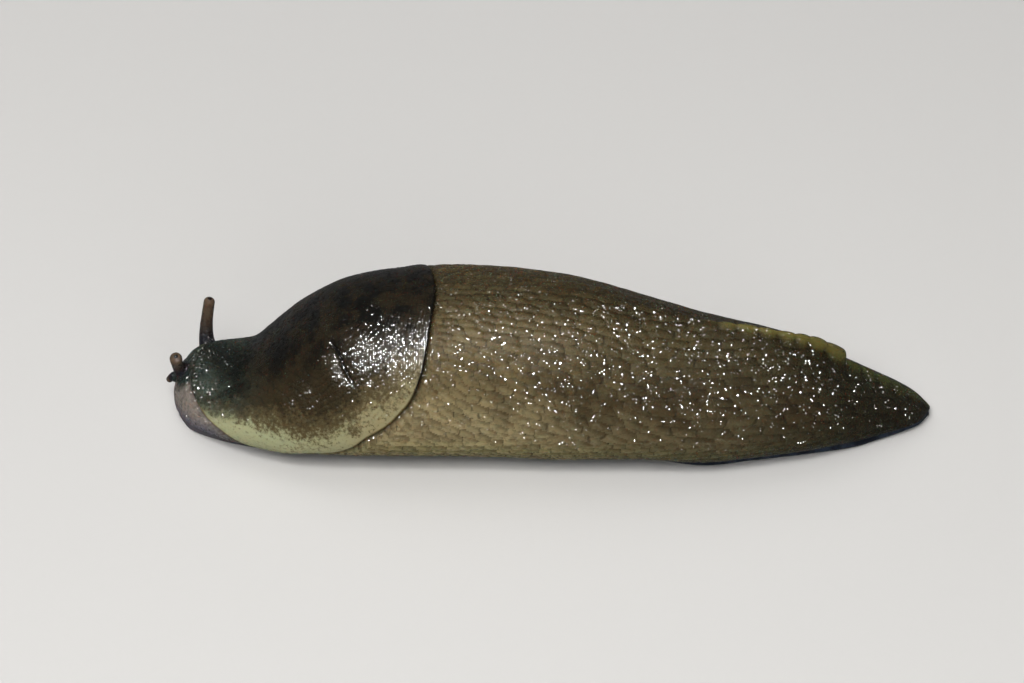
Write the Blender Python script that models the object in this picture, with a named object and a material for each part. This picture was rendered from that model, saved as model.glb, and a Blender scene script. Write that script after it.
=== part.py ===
"""A land slug, Limax tschapecki, at rest, life size, with its head turned a little to its right.

The head points to -X, the animal's left side to -Y and its back to +Z, and the sole lies on z = 0.
Sizes are in millimetres and become metres when a mesh is made. A place on the body is given by
s, the length along the body axis from the snout, and w, which runs round the flank from -1 at the
left edge of the foot over 0 on the back to 1 at the right edge.
"""

import math

import bmesh
import bpy
import numpy as np

MM = 0.001
SMALL_S, SMALL_W = 0.02, 0.004  # steps that slopes are measured over
GAP = 0.3  # clearance between neighbouring pieces
SHARP_ANGLE = 28.0  # degrees past which an edge is shaded as a sharp one

# The body axis: its length, where it starts, and its heading in degrees at some lengths.
LENGTH = 99.4
SNOUT_AT = (-48.26, 4.78)
HEADINGS = (
    (0, 30), (4, 25), (9, 13), (14, 4), (20, 1), (36, 1),
    (46, 4.5), (62, 4.5), (70, 1), (78, -4), (88, -7), (99.4, -7),
)

# Cross sections along the axis: s, half-width of the foot, half-width of the body,
# height of its widest line, height of the back, and how sharp the back is (2 is a keel).
SECTIONS = (
    (0.0, 4.4, 4.6, 2.7, 9.5, 1.6),
    (3.0, 5.2, 5.6, 3.0, 9.3, 1.4),
    (5.0, 6.3, 7.1, 3.5, 8.9, 1.15),
    (8.0, 6.9, 8.8, 4.2, 8.3, 0.95),
    (12.0, 7.5, 10.6, 5.0, 11.0, 0.95),
    (17.0, 8.3, 12.4, 6.0, 15.3, 0.95),
    (23.5, 8.1, 13.2, 7.0, 19.4, 0.95),
    (30.0, 7.7, 13.5, 7.3, 20.9, 0.95),
    (36.0, 7.7, 13.5, 7.4, 21.3, 0.95),
    (43.0, 7.8, 13.3, 7.3, 21.5, 1.0),
    (51.0, 8.2, 12.8, 7.0, 21.2, 1.1),
    (61.7, 7.2, 11.8, 6.3, 19.2, 1.4),
    (69.6, 8.2, 11.0, 5.6, 17.4, 1.7),
    (75.5, 7.2, 9.9, 5.1, 16.3, 1.9),
    (82.7, 6.4, 8.5, 4.2, 13.6, 2.0),
    (88.0, 5.8, 6.9, 3.4, 9.9, 2.0),
    (92.0, 4.6, 5.4, 2.6, 7.3, 1.9),
    (96.5, 2.9, 3.5, 1.7, 4.2, 1.6),
    (99.4, 1.0, 1.3, 1.1, 1.9, 1.3),
)
WIDEST_AT = 0.3  # share of the way up the flank at which the body is widest
GROOVE_HEIGHTS = ((0, 1.6), (85, 1.6), (99.4, 1.0))  # top of the foot, where the body starts
SNOUT_ROUND = 4.0
CHIN_ROUND = 2.2
SNOUT_HEIGHT = 3.0
FACE_LEAN = 0.12  # how far the face leans back for each millimetre of height
FACE_LENGTH = 8.0
TAIL_ROUND = 2.0

# The lengths that the body is divided into.
HEAD_END = 8.5
NECK_END = 20.0
TRUNK_END = 66.0
TAIL_END = 99.0

# The mantle: a shield that lies on the head, neck and trunk, with a free rim.
MANTLE_CENTRE = 19.5
GIRTH = 14.0  # millimetres of flank for one unit of w, near enough for angles round the mantle
MANTLE_RIM = (
    (34.7, -0.04), (34.2, -0.22), (33.6, -0.37), (32.3, -0.50), (30.0, -0.60), (25.5, -0.72), (19.0, -0.82),
    (12.8, -0.87), (10.5, -0.79), (8.4, -0.67), (6.7, -0.55), (5.2, -0.456), (3.8, -0.33), (3.3, -0.12),
    (3.3, 0.12), (3.8, 0.33), (5.2, 0.456), (6.8, 0.57), (8.8, 0.70), (11.0, 0.81), (14.0, 0.88),
    (19.0, 0.82), (25.5, 0.72), (29.6, 0.60), (31.8, 0.46), (33.1, 0.28), (34.2, 0.10),
)
LIP_THICK = 0.5
LIP_PROUD = 0.25
MANTLE_BED = 1.7  # how far the body lies below its outline under the middle of the mantle
MANTLE_CLEAR = GAP + 0.1
MANTLE_SPOKES = 72
MANTLE_CROWDING = 0.4  # spokes stand closer towards the breathing opening
MANTLE_OVER = (
    0.04, 0.14, 0.24, 0.32, 0.40, 0.48, 0.54, 0.59, 0.63, 0.67, 0.71, 0.75, 0.80, 0.86, 0.92, 0.965, 0.99,
)
MANTLE_UNDER = (0.985, 0.93, 0.86, 0.78, 0.65, 0.45, 0.24, 0.04)

# Tentacles: side, root as s and w, reach of the tip forward, to the right and up, and radii.
HEAD_HEADING = 27.0
TENTACLE_SIDES = 14
TENTACLE_BEND = 0.25  # how far a tentacle runs square to the head before it bends, as a share of its length
OCULAR_TENTACLES = (
    ("left", (2.15, -0.35), (-0.3, -1.8, 3.6), (1.1, 1.0, 0.86, 0.78, 0.76, 0.82)),
    ("right", (2.15, 0.43), (0.05, 1.2, 7.2), (1.2, 1.05, 0.95, 0.86, 0.78, 0.74)),
)
ORAL_TENTACLES = (
    ("left", (0.35, -0.48), (1.0, 0.0, -1.1), (0.6, 0.52, 0.46)),
    ("right", (0.35, 0.48), (1.0, 0.3, -1.1), (0.6, 0.52, 0.46)),
)
EYE_RADIUS = 0.3
EYE_GAP = 0.22
EYE_SEAT = 0.75  # depth of the hollow that the eye sits in

# Long tubercles in rows along the back and flanks, every second row half a tubercle further on.
# They are coarser here than in life: about twice as long and wide.
BELLY_COLUMNS = 4
HEAD_COLUMNS = 36  # mesh columns from one edge of the foot to the other
TUBERCLE_COLUMNS = 50  # the same on trunk and tail: two for each row of tubercles
TUBERCLE_LONG = 5.4
TUBERCLE_HIGH = 0.5
FULL_HALF_WIDTH = 13.0  # body half-width at which the tubercles have their full height
BARE_FLANK = 0.95  # share of w past which the flank runs smooth into the foot

# The keel: a row of larger tubercles along the tail's back, with a step near its end.
KEEL_FROM = 66.0
KEEL_HIGH = 0.3
KEEL_SPREAD = 0.06  # how far it reaches to each side, as w
KEEL_STEP = 86.8
KEEL_STEP_HIGH = 0.95
KEEL_RISE = 10.0
KEEL_DROP = 1.1

# Folds of the mantle: a crease on its left flank, and the breathing opening on its right.
FLANK_LONG = 29.0  # millimetres of flank for one unit of w at the mantle
CREASE = ((21.7, -0.23), (24.3, -0.42))
CREASE_DEEP = 0.45
FOLD_HIGH = 0.35
BREATHING_AT = (25.5, 0.56)
BREATHING_RADIUS = 0.75
BREATHING_DEEP = 0.6
BREATHING_LIP = 0.4

# The mouth: an upright slit at the very front, between two lips. Each ring of it has a share of the
# snout ring's width, a share of its height, and a place forward of it.
MOUTH_RINGS = ((0.1, 0.6, -0.4), (0.14, 0.85, 0.0), (0.35, 1.0, 0.22), (0.7, 1.0, 0.18))
MOUTH_DEPTH = 0.5
SNOUT_TURN = 0.2  # how far round the snout the first ring behind the mouth lies, in radians


def between(x, low, high):
    """A smooth step from 0 at low to 1 at high."""
    t = np.clip((x - low) / (high - low), 0, 1)
    return t * t * (3 - 2 * t)


def curve_through(x, knots, values):
    """A smooth curve through the knots that makes no waves of its own between them."""
    knots = np.asarray(knots, float)
    values = np.asarray(values, float)
    step = np.diff(knots)
    rise = np.diff(values) / step
    slope = np.zeros(len(knots))
    same = rise[:-1] * rise[1:] > 0
    before = 2 * step[1:] + step[:-1]
    after = step[1:] + 2 * step[:-1]
    inner = np.zeros(len(rise) - 1)
    inner[same] = ((before + after) / (before / np.where(same, rise[:-1], 1)
                                       + after / np.where(same, rise[1:], 1)))[same]
    slope[1:-1] = inner
    slope[0] = rise[0]
    slope[-1] = rise[-1]
    x = np.clip(x, knots[0], knots[-1])
    i = np.clip(np.searchsorted(knots, x) - 1, 0, len(knots) - 2)
    t = (x - knots[i]) / step[i]
    return ((2 * t**3 - 3 * t**2 + 1) * values[i] + (t**3 - 2 * t**2 + t) * step[i] * slope[i]
            + (3 * t**2 - 2 * t**3) * values[i + 1] + (t**3 - t**2) * step[i] * slope[i + 1])


def column(table, k):
    return [row[k] for row in table]


AXIS_S = np.linspace(0, LENGTH, 1001)
AXIS_ANGLE = np.radians(curve_through(AXIS_S, column(HEADINGS, 0), column(HEADINGS, 1)))


def run_up(rate):
    """The running sum of a rate along the axis, by the trapezium rule."""
    return np.concatenate([[0], np.cumsum((rate[1:] + rate[:-1]) / 2 * np.diff(AXIS_S))])


AXIS_X = SNOUT_AT[0] + run_up(np.cos(AXIS_ANGLE))
AXIS_Y = SNOUT_AT[1] - run_up(np.sin(AXIS_ANGLE))


def place(s, side, z):
    """Points beside the axis: side is the distance to the animal's right."""
    angle = np.interp(s, AXIS_S, AXIS_ANGLE)
    x = np.interp(s, AXIS_S, AXIS_X) + side * np.sin(angle)
    y = np.interp(s, AXIS_S, AXIS_Y) + side * np.cos(angle)
    return np.stack([x, y, z + 0 * x], -1)


def rounded(distance, radius):
    """The share of full width at a distance from a rounded end."""
    return np.sqrt(np.clip(1 - (np.clip(radius - distance, 0, None) / radius) ** 2, 0, 1))


def groove_height(s):
    return curve_through(s, column(GROOVE_HEIGHTS, 0), column(GROOVE_HEIGHTS, 1))


def outline(s, w):
    """The body's outer surface, with the mantle on it: points for s and w."""
    s, w = np.broadcast_arrays(np.asarray(s, float), np.asarray(w, float))
    foot, half, wide_z, back_z, sharp = [
        curve_through(s, column(SECTIONS, 0), column(SECTIONS, k)) for k in range(1, 6)
    ]
    up = 1 - np.abs(w)
    lower = np.clip(up / WIDEST_AT, 0, 1) * math.pi / 2
    upper = np.clip((up - WIDEST_AT) / (1 - WIDEST_AT), 0, 1) * math.pi / 2
    low_z = groove_height(s)
    side = np.where(up < WIDEST_AT, foot + (half - foot) * np.sin(lower), half * np.cos(upper) ** sharp)
    z = np.where(up < WIDEST_AT, wide_z - (wide_z - low_z) * np.cos(lower),
                 wide_z + (back_z - wide_z) * np.sin(upper))
    snout = rounded(s, SNOUT_ROUND)
    chin = rounded(s, CHIN_ROUND)
    tail = rounded(LENGTH - s, TAIL_ROUND)
    z = SNOUT_HEIGHT + (z - SNOUT_HEIGHT) * np.where(z > SNOUT_HEIGHT, snout, chin)
    z = np.where(s > TRUNK_END, low_z + (z - low_z) * (0.3 + 0.7 * tail), z)
    lean = FACE_LEAN * np.clip(z - SNOUT_HEIGHT, 0, None) * (1 - between(s, 0, FACE_LENGTH))
    return place(s + lean, np.sign(w) * side * snout * tail, z)


def outward(surface, s, w):
    """Unit normals of a surface of s and w, by central differences."""
    along = surface(s + SMALL_S, w) - surface(s - SMALL_S, w)
    across = surface(s, np.clip(w + SMALL_W, -1, 1)) - surface(s, np.clip(w - SMALL_W, -1, 1))
    n = np.cross(along, across)
    return n / np.linalg.norm(n, axis=-1, keepdims=True)


def rim_radius(angle):
    """Distance from the mantle's centre to its rim, in the plane of s and w."""
    points = np.array(MANTLE_RIM)
    ds = points[:, 0] - MANTLE_CENTRE
    dw = points[:, 1] * GIRTH
    turn = np.arctan2(-dw, ds) % (2 * math.pi)
    order = np.argsort(turn)
    turn = turn[order]
    radius = np.hypot(ds, dw)[order]
    turn = np.concatenate([turn[-3:] - 2 * math.pi, turn, turn[:3] + 2 * math.pi])
    radius = np.concatenate([radius[-3:], radius, radius[:3]])
    return curve_through(angle % (2 * math.pi), turn, radius)


def mantle_ratio(s, w):
    """0 at the mantle's centre and 1 on its rim."""
    ds = s - MANTLE_CENTRE
    dw = w * GIRTH
    return np.hypot(ds, dw) / rim_radius(np.arctan2(-dw, ds))


def body_inset(s, w):
    """How deep the body lies below the outline, to leave room for the mantle."""
    ratio = mantle_ratio(s, w)
    seat = LIP_THICK + MANTLE_CLEAR - LIP_PROUD
    return seat * (1 - between(ratio, 1.0, 1.15)) + (MANTLE_BED - seat) * (1 - between(ratio, 0.8, 0.98))


def body(s, w):
    """The surface of head, neck, trunk and tail."""
    s, w = np.broadcast_arrays(np.asarray(s, float), np.asarray(w, float))
    return outline(s, w) - outward(outline, s, w) * body_inset(s, w)[..., None]


def tubercles(s, w):
    """Height of the tubercles: crests on every second mesh column, staggered from row to row."""
    column_place = (w + 1) / 2 * TUBERCLE_COLUMNS
    across = 0.5 - 0.5 * np.cos(math.pi * column_place)
    row = np.floor(column_place / 2)
    along = np.abs(np.sin(math.pi * (s / TUBERCLE_LONG + 0.5 * (row % 2)))) ** 0.5
    half = curve_through(s, column(SECTIONS, 0), column(SECTIONS, 2))
    bare = between(mantle_ratio(s, w), 1.08, 1.3) * (1 - between(np.abs(w), 0.85, BARE_FLANK))
    return TUBERCLE_HIGH * np.clip(half / FULL_HALF_WIDTH, 0, 1) * across * along * bare


def keel(s, w):
    """Extra height of the crest along the tail's back."""
    notches = 0.5 + 0.5 * np.abs(np.sin(math.pi * s / TUBERCLE_LONG))
    crest = KEEL_HIGH * notches * between(s, KEEL_FROM, KEEL_FROM + 8)
    rise = between(s, KEEL_STEP - KEEL_RISE, KEEL_STEP) * (1 - between(s, KEEL_STEP, KEEL_STEP + KEEL_DROP))
    return (crest + KEEL_STEP_HIGH * rise) * np.exp(-(w / KEEL_SPREAD) ** 2) * (1 - between(s, 94, 98))


def skin(s, w):
    """The body's surface with its tubercles and keel."""
    s, w = np.broadcast_arrays(np.asarray(s, float), np.asarray(w, float))
    return body(s, w) + outward(body, s, w) * (tubercles(s, w) + keel(s, w))[..., None]


def mantle_folds(s, w):
    """Height of the crease and its fold on the left, and of the breathing opening on the right."""
    (s0, w0), (s1, w1) = CREASE
    along = np.array([s1 - s0, (w1 - w0) * FLANK_LONG])
    length = np.hypot(*along)
    along = along / length
    x, y = s - s0, (w - w0) * FLANK_LONG
    down = x * along[0] + y * along[1]
    off = x * along[1] - y * along[0]
    ends = between(down, -1.2, 0.8) * (1 - between(down, length - 0.8, length + 1.2))
    crease = (FOLD_HIGH * np.exp(-((off - 1.0) / 0.9) ** 2) - CREASE_DEEP * np.exp(-(off / 0.5) ** 2)) * ends
    side = (w - BREATHING_AT[1]) * FLANK_LONG
    away = np.hypot(s - BREATHING_AT[0], side)
    ring = BREATHING_LIP * np.exp(-((away - 2 * BREATHING_RADIUS) / 0.6) ** 2)
    pit = BREATHING_DEEP * np.exp(-(away / BREATHING_RADIUS) ** 4)
    slit = 0.3 * np.exp(-((s - BREATHING_AT[0]) / 0.4) ** 2) * between(side, 0.5, 1.5)
    return crease + ring - pit - slit * (1 - between(mantle_ratio(s, w), 0.85, 0.97))


def make_material(name, colour, roughness):
    material = bpy.data.materials.new(name)
    material.use_nodes = True
    shader = material.node_tree.nodes["Principled BSDF"]
    shader.inputs["Base Color"].default_value = (*colour, 1)
    shader.inputs["Roughness"].default_value = roughness
    shader.inputs["Metallic"].default_value = 0
    return material


def make_object(name, points, faces, colour, roughness=0.3):
    """One closed mesh from points in millimetres."""
    mesh = bpy.data.meshes.new(name)
    mesh.from_pydata((np.asarray(points) * MM).tolist(), [], faces)
    shape = bmesh.new()
    shape.from_mesh(mesh)
    bmesh.ops.recalc_face_normals(shape, faces=shape.faces)
    shape.to_mesh(mesh)
    shape.free()
    mesh.shade_smooth()
    mesh.set_sharp_from_angle(angle=math.radians(SHARP_ANGLE))
    mesh.materials.append(make_material(name + "_skin", colour, roughness))
    item = bpy.data.objects.new(name, mesh)
    bpy.context.scene.collection.objects.link(item)
    return item


def tube(rings, first_pole=None, last_pole=None, crossing=None):
    """Points and faces of a closed tube of rings, its ends drawn in to a pole each.

    With a crossing of 0 or 1 each quad is cut in two, and the cuts cross to and fro as on a lattice.
    """
    rings = np.asarray(rings)
    count, around = rings.shape[:2]
    first_pole = rings[0].mean(0) if first_pole is None else first_pole
    last_pole = rings[-1].mean(0) if last_pole is None else last_pole
    points = np.concatenate([rings.reshape(-1, 3), [first_pole, last_pole]])
    faces = []
    for i in range(count - 1):
        for j in range(around):
            k = (j + 1) % around
            corners = [i * around + j, i * around + k, (i + 1) * around + k, (i + 1) * around + j]
            if crossing is None:
                faces.append(corners)
            elif (i + j + crossing) % 2:
                faces += [corners[:3], [corners[0]] + corners[2:]]
            else:
                faces += [corners[:2] + corners[3:], corners[1:]]
    base = (count - 1) * around
    for j in range(around):
        k = (j + 1) % around
        faces.append((k, j, count * around))
        faces.append((base + j, base + k, count * around + 1))
    return points, faces


def body_rings(s_values, columns):
    """Rings round the body: over the back from left to right, then under it from right to left."""
    w = np.linspace(-1, 1, columns + 1)
    over = skin(np.asarray(s_values)[:, None], w[None, :])
    right, left = over[:, -1:], over[:, :1]
    share = np.linspace(0, 1, BELLY_COLUMNS + 1)[1:-1]
    under = right + (left - right) * share[None, :, None]
    return np.concatenate([over, under], 1)


def make_head():
    """The snout, its rings drawn in at the front to the lips and the slit of the mouth."""
    turn = np.linspace(SNOUT_TURN, math.pi / 2, 10)
    s = np.concatenate([SNOUT_ROUND * (1 - np.cos(turn)), np.arange(5.0, HEAD_END - 0.5, 1.0),
                        [HEAD_END - GAP / 2]])
    rings = body_rings(s, HEAD_COLUMNS)
    forward, right, up = head_frame()
    middle = (rings[0].min(0) + rings[0].max(0)) / 2
    wide = np.outer((rings[0] - middle) @ right, right)
    high = np.outer((rings[0] - middle) @ up, up)
    lips = [middle + width * wide + height * high + ahead * forward for width, height, ahead in MOUTH_RINGS]
    points, faces = tube(np.concatenate([lips, rings]), first_pole=middle - MOUTH_DEPTH * forward)
    return make_object("head", points, faces, (0.33, 0.29, 0.26))


def make_length(name, start, end, step, columns, colour):
    """One length of the body between two cuts across it."""
    first = math.ceil(start / step + 0.3)
    inner = np.arange(first, end / step - 0.3) * step
    rings = body_rings(np.concatenate([[start], inner, [end]]), columns)
    return make_object(name, *tube(rings, crossing=first % 2), colour)


def make_mantle():
    """A shell in polar rings: out over the top, round the lip and back in underneath."""
    even = np.linspace(0, 2 * math.pi, MANTLE_SPOKES, endpoint=False)
    toward = math.atan2(-BREATHING_AT[1] * GIRTH, BREATHING_AT[0] - MANTLE_CENTRE)
    angle = even - MANTLE_CROWDING * np.sin(even - toward)
    radius = rim_radius(angle)

    def ring(ratio, height):
        s = MANTLE_CENTRE + ratio * radius * np.cos(angle)
        w = -ratio * radius * np.sin(angle) / GIRTH
        return outline(s, w) + outward(outline, s, w) * height(s, w)[..., None]

    def over(s, w):
        return LIP_PROUD * between(mantle_ratio(s, w), 0.75, 0.95) + mantle_folds(s, w)

    def edge(s, w):
        return LIP_PROUD - 0.5 * LIP_THICK + 0 * s

    def under(s, w):
        return MANTLE_CLEAR - body_inset(s, w)

    rings = [ring(ratio, over) for ratio in MANTLE_OVER]
    rings.append(ring(1.0, edge))
    rings += [ring(ratio, under) for ratio in MANTLE_UNDER]
    return make_object("mantle", *tube(np.array(rings)), (0.05, 0.045, 0.03))


def make_foot():
    """The sole and its fringe: a flat slab with two shallow grooves along it."""
    ends = 1 - np.cos(np.linspace(0.25, math.pi / 2, 6))
    s = np.concatenate([0.3 + SNOUT_ROUND * ends, np.arange(7.0, 94.0, 3.0),
                        LENGTH - TAIL_ROUND * ends[::-1]])
    half = curve_through(s, column(SECTIONS, 0), column(SECTIONS, 1))
    half = half * rounded(s - 0.3, SNOUT_ROUND) * rounded(LENGTH - s, TAIL_ROUND)
    top = groove_height(s) - GAP
    field = 0.4 * half
    groove = np.minimum(0.45, 0.12 * half)
    profile = [
        (-half + 0.12 * half, 0 * s), (-field - groove, 0 * s), (-field, 0.25 + 0 * s),
        (-field + groove, 0 * s), (field - groove, 0 * s), (field, 0.25 + 0 * s),
        (field + groove, 0 * s), (half - 0.12 * half, 0 * s),
        (half, 0.3 * top), (half, 0.7 * top), (half - 0.06 * half, top),
        (0.5 * half, top), (0 * s, top), (-0.5 * half, top),
        (-half + 0.06 * half, top), (-half, 0.7 * top), (-half, 0.3 * top),
    ]
    rings = np.stack([place(s, side, z) for side, z in profile], 1)
    return make_object("foot", *tube(rings), (0.03, 0.035, 0.05))


def head_frame():
    """Unit vectors forward, to the animal's right, and up, at the head."""
    turn = math.radians(HEAD_HEADING)
    forward = np.array([-math.cos(turn), math.sin(turn), 0])
    right = np.array([math.sin(turn), math.cos(turn), 0])
    return forward, right, np.array([0, 0, 1.0])


class Stalk:
    """The centre line of a tentacle: it leaves the head square on and bends to its tip."""

    def __init__(self, s, w, reach):
        forward, right, up = head_frame()
        self.seat = s, w
        self.along = (body(s + SMALL_S, w) - body(s - SMALL_S, w)) / (2 * SMALL_S)
        self.across = (body(s, w + SMALL_W) - body(s, w - SMALL_W)) / (2 * SMALL_W)
        self.start = outward(body, np.array(s), np.array(w))
        self.root = body(s, w) + self.start * GAP
        self.tip = self.root + reach[0] * forward + reach[1] * right + reach[2] * up
        self.bend = self.root + self.start * np.linalg.norm(self.tip - self.root) * TENTACLE_BEND

    def at(self, t):
        """Point and direction at t, from 0 at the root to 1 at the tip."""
        point = (1 - t) ** 2 * self.root + 2 * t * (1 - t) * self.bend + t * t * self.tip
        direction = (1 - t) * (self.bend - self.root) + t * (self.tip - self.bend)
        return point, direction / np.linalg.norm(direction)

    def base(self, radius):
        """The first ring, which follows the head's surface at the clearance."""
        phase = np.linspace(0, 2 * math.pi, TENTACLE_SIDES, endpoint=False)
        s = self.seat[0] + radius * np.cos(phase) / np.linalg.norm(self.along)
        w = self.seat[1] + radius * np.sin(phase) / np.linalg.norm(self.across)
        return body(s, w) + outward(body, s, w) * GAP

    def ring(self, t, radius, shift=0.0):
        """A round ring square to the centre line, shifted along it."""
        centre, direction = self.at(t)
        first = self.along - direction * (self.along @ direction)
        first = first / np.linalg.norm(first)
        second = np.cross(direction, first)
        phase = np.linspace(0, 2 * math.pi, TENTACLE_SIDES, endpoint=False)
        spoke = np.cos(phase)[:, None] * first + np.sin(phase)[:, None] * second
        return centre + direction * shift + radius * spoke


def make_tentacle(name, place_on_head, reach, radii, with_eye):
    """A tapering tube with a rounded end, which has a small hollow where an eye sits."""
    stalk = Stalk(*place_on_head, reach)
    end = radii[-1]
    shoulder = 1 - 0.7 * end / np.linalg.norm(stalk.tip - stalk.root)
    steps = np.linspace(0, shoulder, len(radii))[1:]
    rings = [stalk.base(radii[0])] + [stalk.ring(t, radius) for t, radius in zip(steps, radii[1:])]
    if with_eye:
        hollow = EYE_RADIUS + EYE_GAP
        rings += [stalk.ring(1, radius, shift) for shift, radius in (
            (-0.1, 0.93 * end), (0.05, 0.5 * (hollow + end)), (0.05, hollow + 0.03), (-EYE_SEAT, hollow))]
        last = stalk.at(1)[0] - stalk.at(1)[1] * EYE_SEAT
    else:
        rings += [stalk.ring(1, 0.85 * end, -0.4 * end), stalk.ring(1, 0.5 * end, -0.12 * end)]
        last = stalk.tip
    points, faces = tube(np.array(rings), first_pole=stalk.root, last_pole=last)
    make_object(name, points, faces, (0.05, 0.04, 0.035))
    return stalk


def make_eye(name, stalk):
    """A small dark bead in the hollow at a tentacle's tip."""
    centre, direction = stalk.at(1)
    centre = centre - direction * (EYE_SEAT - EYE_GAP - EYE_RADIUS)
    bpy.ops.mesh.primitive_uv_sphere_add(
        segments=12, ring_count=8, radius=EYE_RADIUS * MM, location=tuple(centre * MM)
    )
    eye = bpy.context.object
    eye.name = name
    eye.data.name = name
    eye.data.shade_smooth()
    eye.data.materials.append(make_material(name + "_skin", (0.01, 0.01, 0.01), 0.1))
    return eye


def main():
    for item in list(bpy.data.objects):
        bpy.data.objects.remove(item)
    make_head()
    make_length("neck", HEAD_END + GAP / 2, NECK_END - GAP / 2, 1.6, 30, (0.30, 0.27, 0.20))
    quarter = TUBERCLE_LONG / 4
    columns = TUBERCLE_COLUMNS
    make_length("trunk", NECK_END + GAP / 2, TRUNK_END - GAP / 2, quarter, columns, (0.20, 0.16, 0.09))
    make_length("tail", TRUNK_END + GAP / 2, TAIL_END, quarter, columns, (0.10, 0.085, 0.045))
    make_foot()
    make_mantle()
    for name, root, reach, radii in OCULAR_TENTACLES:
        stalk = make_tentacle("ocular_tentacle_" + name, root, reach, radii, True)
        make_eye("eye_" + name, stalk)
    for name, root, reach, radii in ORAL_TENTACLES:
        make_tentacle("oral_tentacle_" + name, root, reach, radii, False)


main()
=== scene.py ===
# %% [markdown]
# # A wet land slug, life size
#
# The CAD part gives a slug as plain solids: head, neck, trunk, tail, foot, mantle, tentacles and
# eyes. Here it gets its looks. One skin is drawn over all the flesh, with its wrinkles, tubercles
# and lips as real geometry, and wet materials are laid on it. The frame is loaded first, because
# every piece must lie where its solid lies.

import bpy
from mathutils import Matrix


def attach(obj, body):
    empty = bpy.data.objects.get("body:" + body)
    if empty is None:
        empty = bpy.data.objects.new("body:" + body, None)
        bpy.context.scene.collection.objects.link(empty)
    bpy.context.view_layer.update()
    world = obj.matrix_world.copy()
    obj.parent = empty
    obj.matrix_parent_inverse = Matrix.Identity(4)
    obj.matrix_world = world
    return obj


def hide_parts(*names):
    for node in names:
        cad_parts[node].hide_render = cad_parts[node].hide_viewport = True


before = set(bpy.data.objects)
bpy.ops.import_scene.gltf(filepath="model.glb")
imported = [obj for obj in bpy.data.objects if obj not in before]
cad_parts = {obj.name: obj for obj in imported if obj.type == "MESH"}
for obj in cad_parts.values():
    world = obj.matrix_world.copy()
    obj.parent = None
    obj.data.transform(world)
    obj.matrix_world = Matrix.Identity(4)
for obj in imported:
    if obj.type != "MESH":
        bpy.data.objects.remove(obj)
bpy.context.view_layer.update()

import math

import bpy
import numpy as np
from mathutils import Vector

print("nodes:", ", ".join(sorted(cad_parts)))

# %% [markdown]
# ## Two ways round a slug
#
# A place on the skin has two numbers: s, the millimetres from the snout along the body's axis, and
# w, which runs round the flank from -1 at the left edge of the foot over 0 on the back to 1 at the
# right edge. The skin could be sculpted by hand, but a formula for its shape lets every wrinkle be
# given as a height above it. The sizes are the ones that the solids were made from.

# %% Smooth steps, curves and seeded scatter
MM = 0.001


def between(x, low, high):
    """A smooth step from 0 at low to 1 at high: 3t^2 - 2t^3."""
    t = np.clip((x - low) / (high - low), 0, 1)
    return t * t * (3 - 2 * t)


def bump_at(x, middle, width):
    """A bell, 1 at the middle: exp(-((x - middle) / width)^2)."""
    return np.exp(-((x - middle) / width) ** 2)


def curve_through(x, knots, values):
    """A cubic through the knots that makes no waves of its own between them."""
    knots = np.asarray(knots, float)
    values = np.asarray(values, float)
    step = np.diff(knots)
    rise = np.diff(values) / step
    slope = np.zeros(len(knots))
    same = rise[:-1] * rise[1:] > 0
    before = 2 * step[1:] + step[:-1]
    after = step[1:] + 2 * step[:-1]
    inner = np.zeros(len(rise) - 1)
    inner[same] = ((before + after) / (before / np.where(same, rise[:-1], 1)
                                       + after / np.where(same, rise[1:], 1)))[same]
    slope[1:-1] = inner
    slope[0] = rise[0]
    slope[-1] = rise[-1]
    x = np.clip(x, knots[0], knots[-1])
    i = np.clip(np.searchsorted(knots, x) - 1, 0, len(knots) - 2)
    t = (x - knots[i]) / step[i]
    return ((2 * t**3 - 3 * t**2 + 1) * values[i] + (t**3 - 2 * t**2 + t) * step[i] * slope[i]
            + (3 * t**2 - 2 * t**3) * values[i + 1] + (t**3 - t**2) * step[i] * slope[i + 1])


def from_table(x, table, k=1):
    """The curve through column k of a table over its first column."""
    return curve_through(x, [row[0] for row in table], [row[k] for row in table])


def unit(vectors):
    return vectors / np.clip(np.linalg.norm(vectors, axis=-1, keepdims=True), 1e-12, None)


CELL_MIX = (127.1, 311.7, 74.7)  # any numbers do that share no simple ratio
CELL_SPREAD = 43758.5453


def scatter(i, j, seed):
    """A number from 0 to 1 for each cell i, j, the same each run: the fraction of a large sine."""
    mixed = np.sin(i * CELL_MIX[0] + j * CELL_MIX[1] + seed * CELL_MIX[2]) * CELL_SPREAD
    return mixed - np.floor(mixed)


def drift(x, y, seed):
    """Smooth noise from -1 to 1: each unit cell's corners get a number, blended by smooth steps."""
    i, j = np.floor(x), np.floor(y)
    a, b = between(x - i, 0, 1), between(y - j, 0, 1)
    near = scatter(i, j, seed) * (1 - a) + scatter(i + 1, j, seed) * a
    far = scatter(i, j + 1, seed) * (1 - a) + scatter(i + 1, j + 1, seed) * a
    return 2 * (near * (1 - b) + far * b) - 1


# %% The body's axis and cross sections
LENGTH = 99.4
SNOUT_AT = (-48.26, 4.78)
HEADINGS = (
    (0, 30), (4, 25), (9, 13), (14, 4), (20, 1), (36, 1),
    (46, 4.5), (62, 4.5), (70, 1), (78, -4), (88, -7), (99.4, -7),
)
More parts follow.
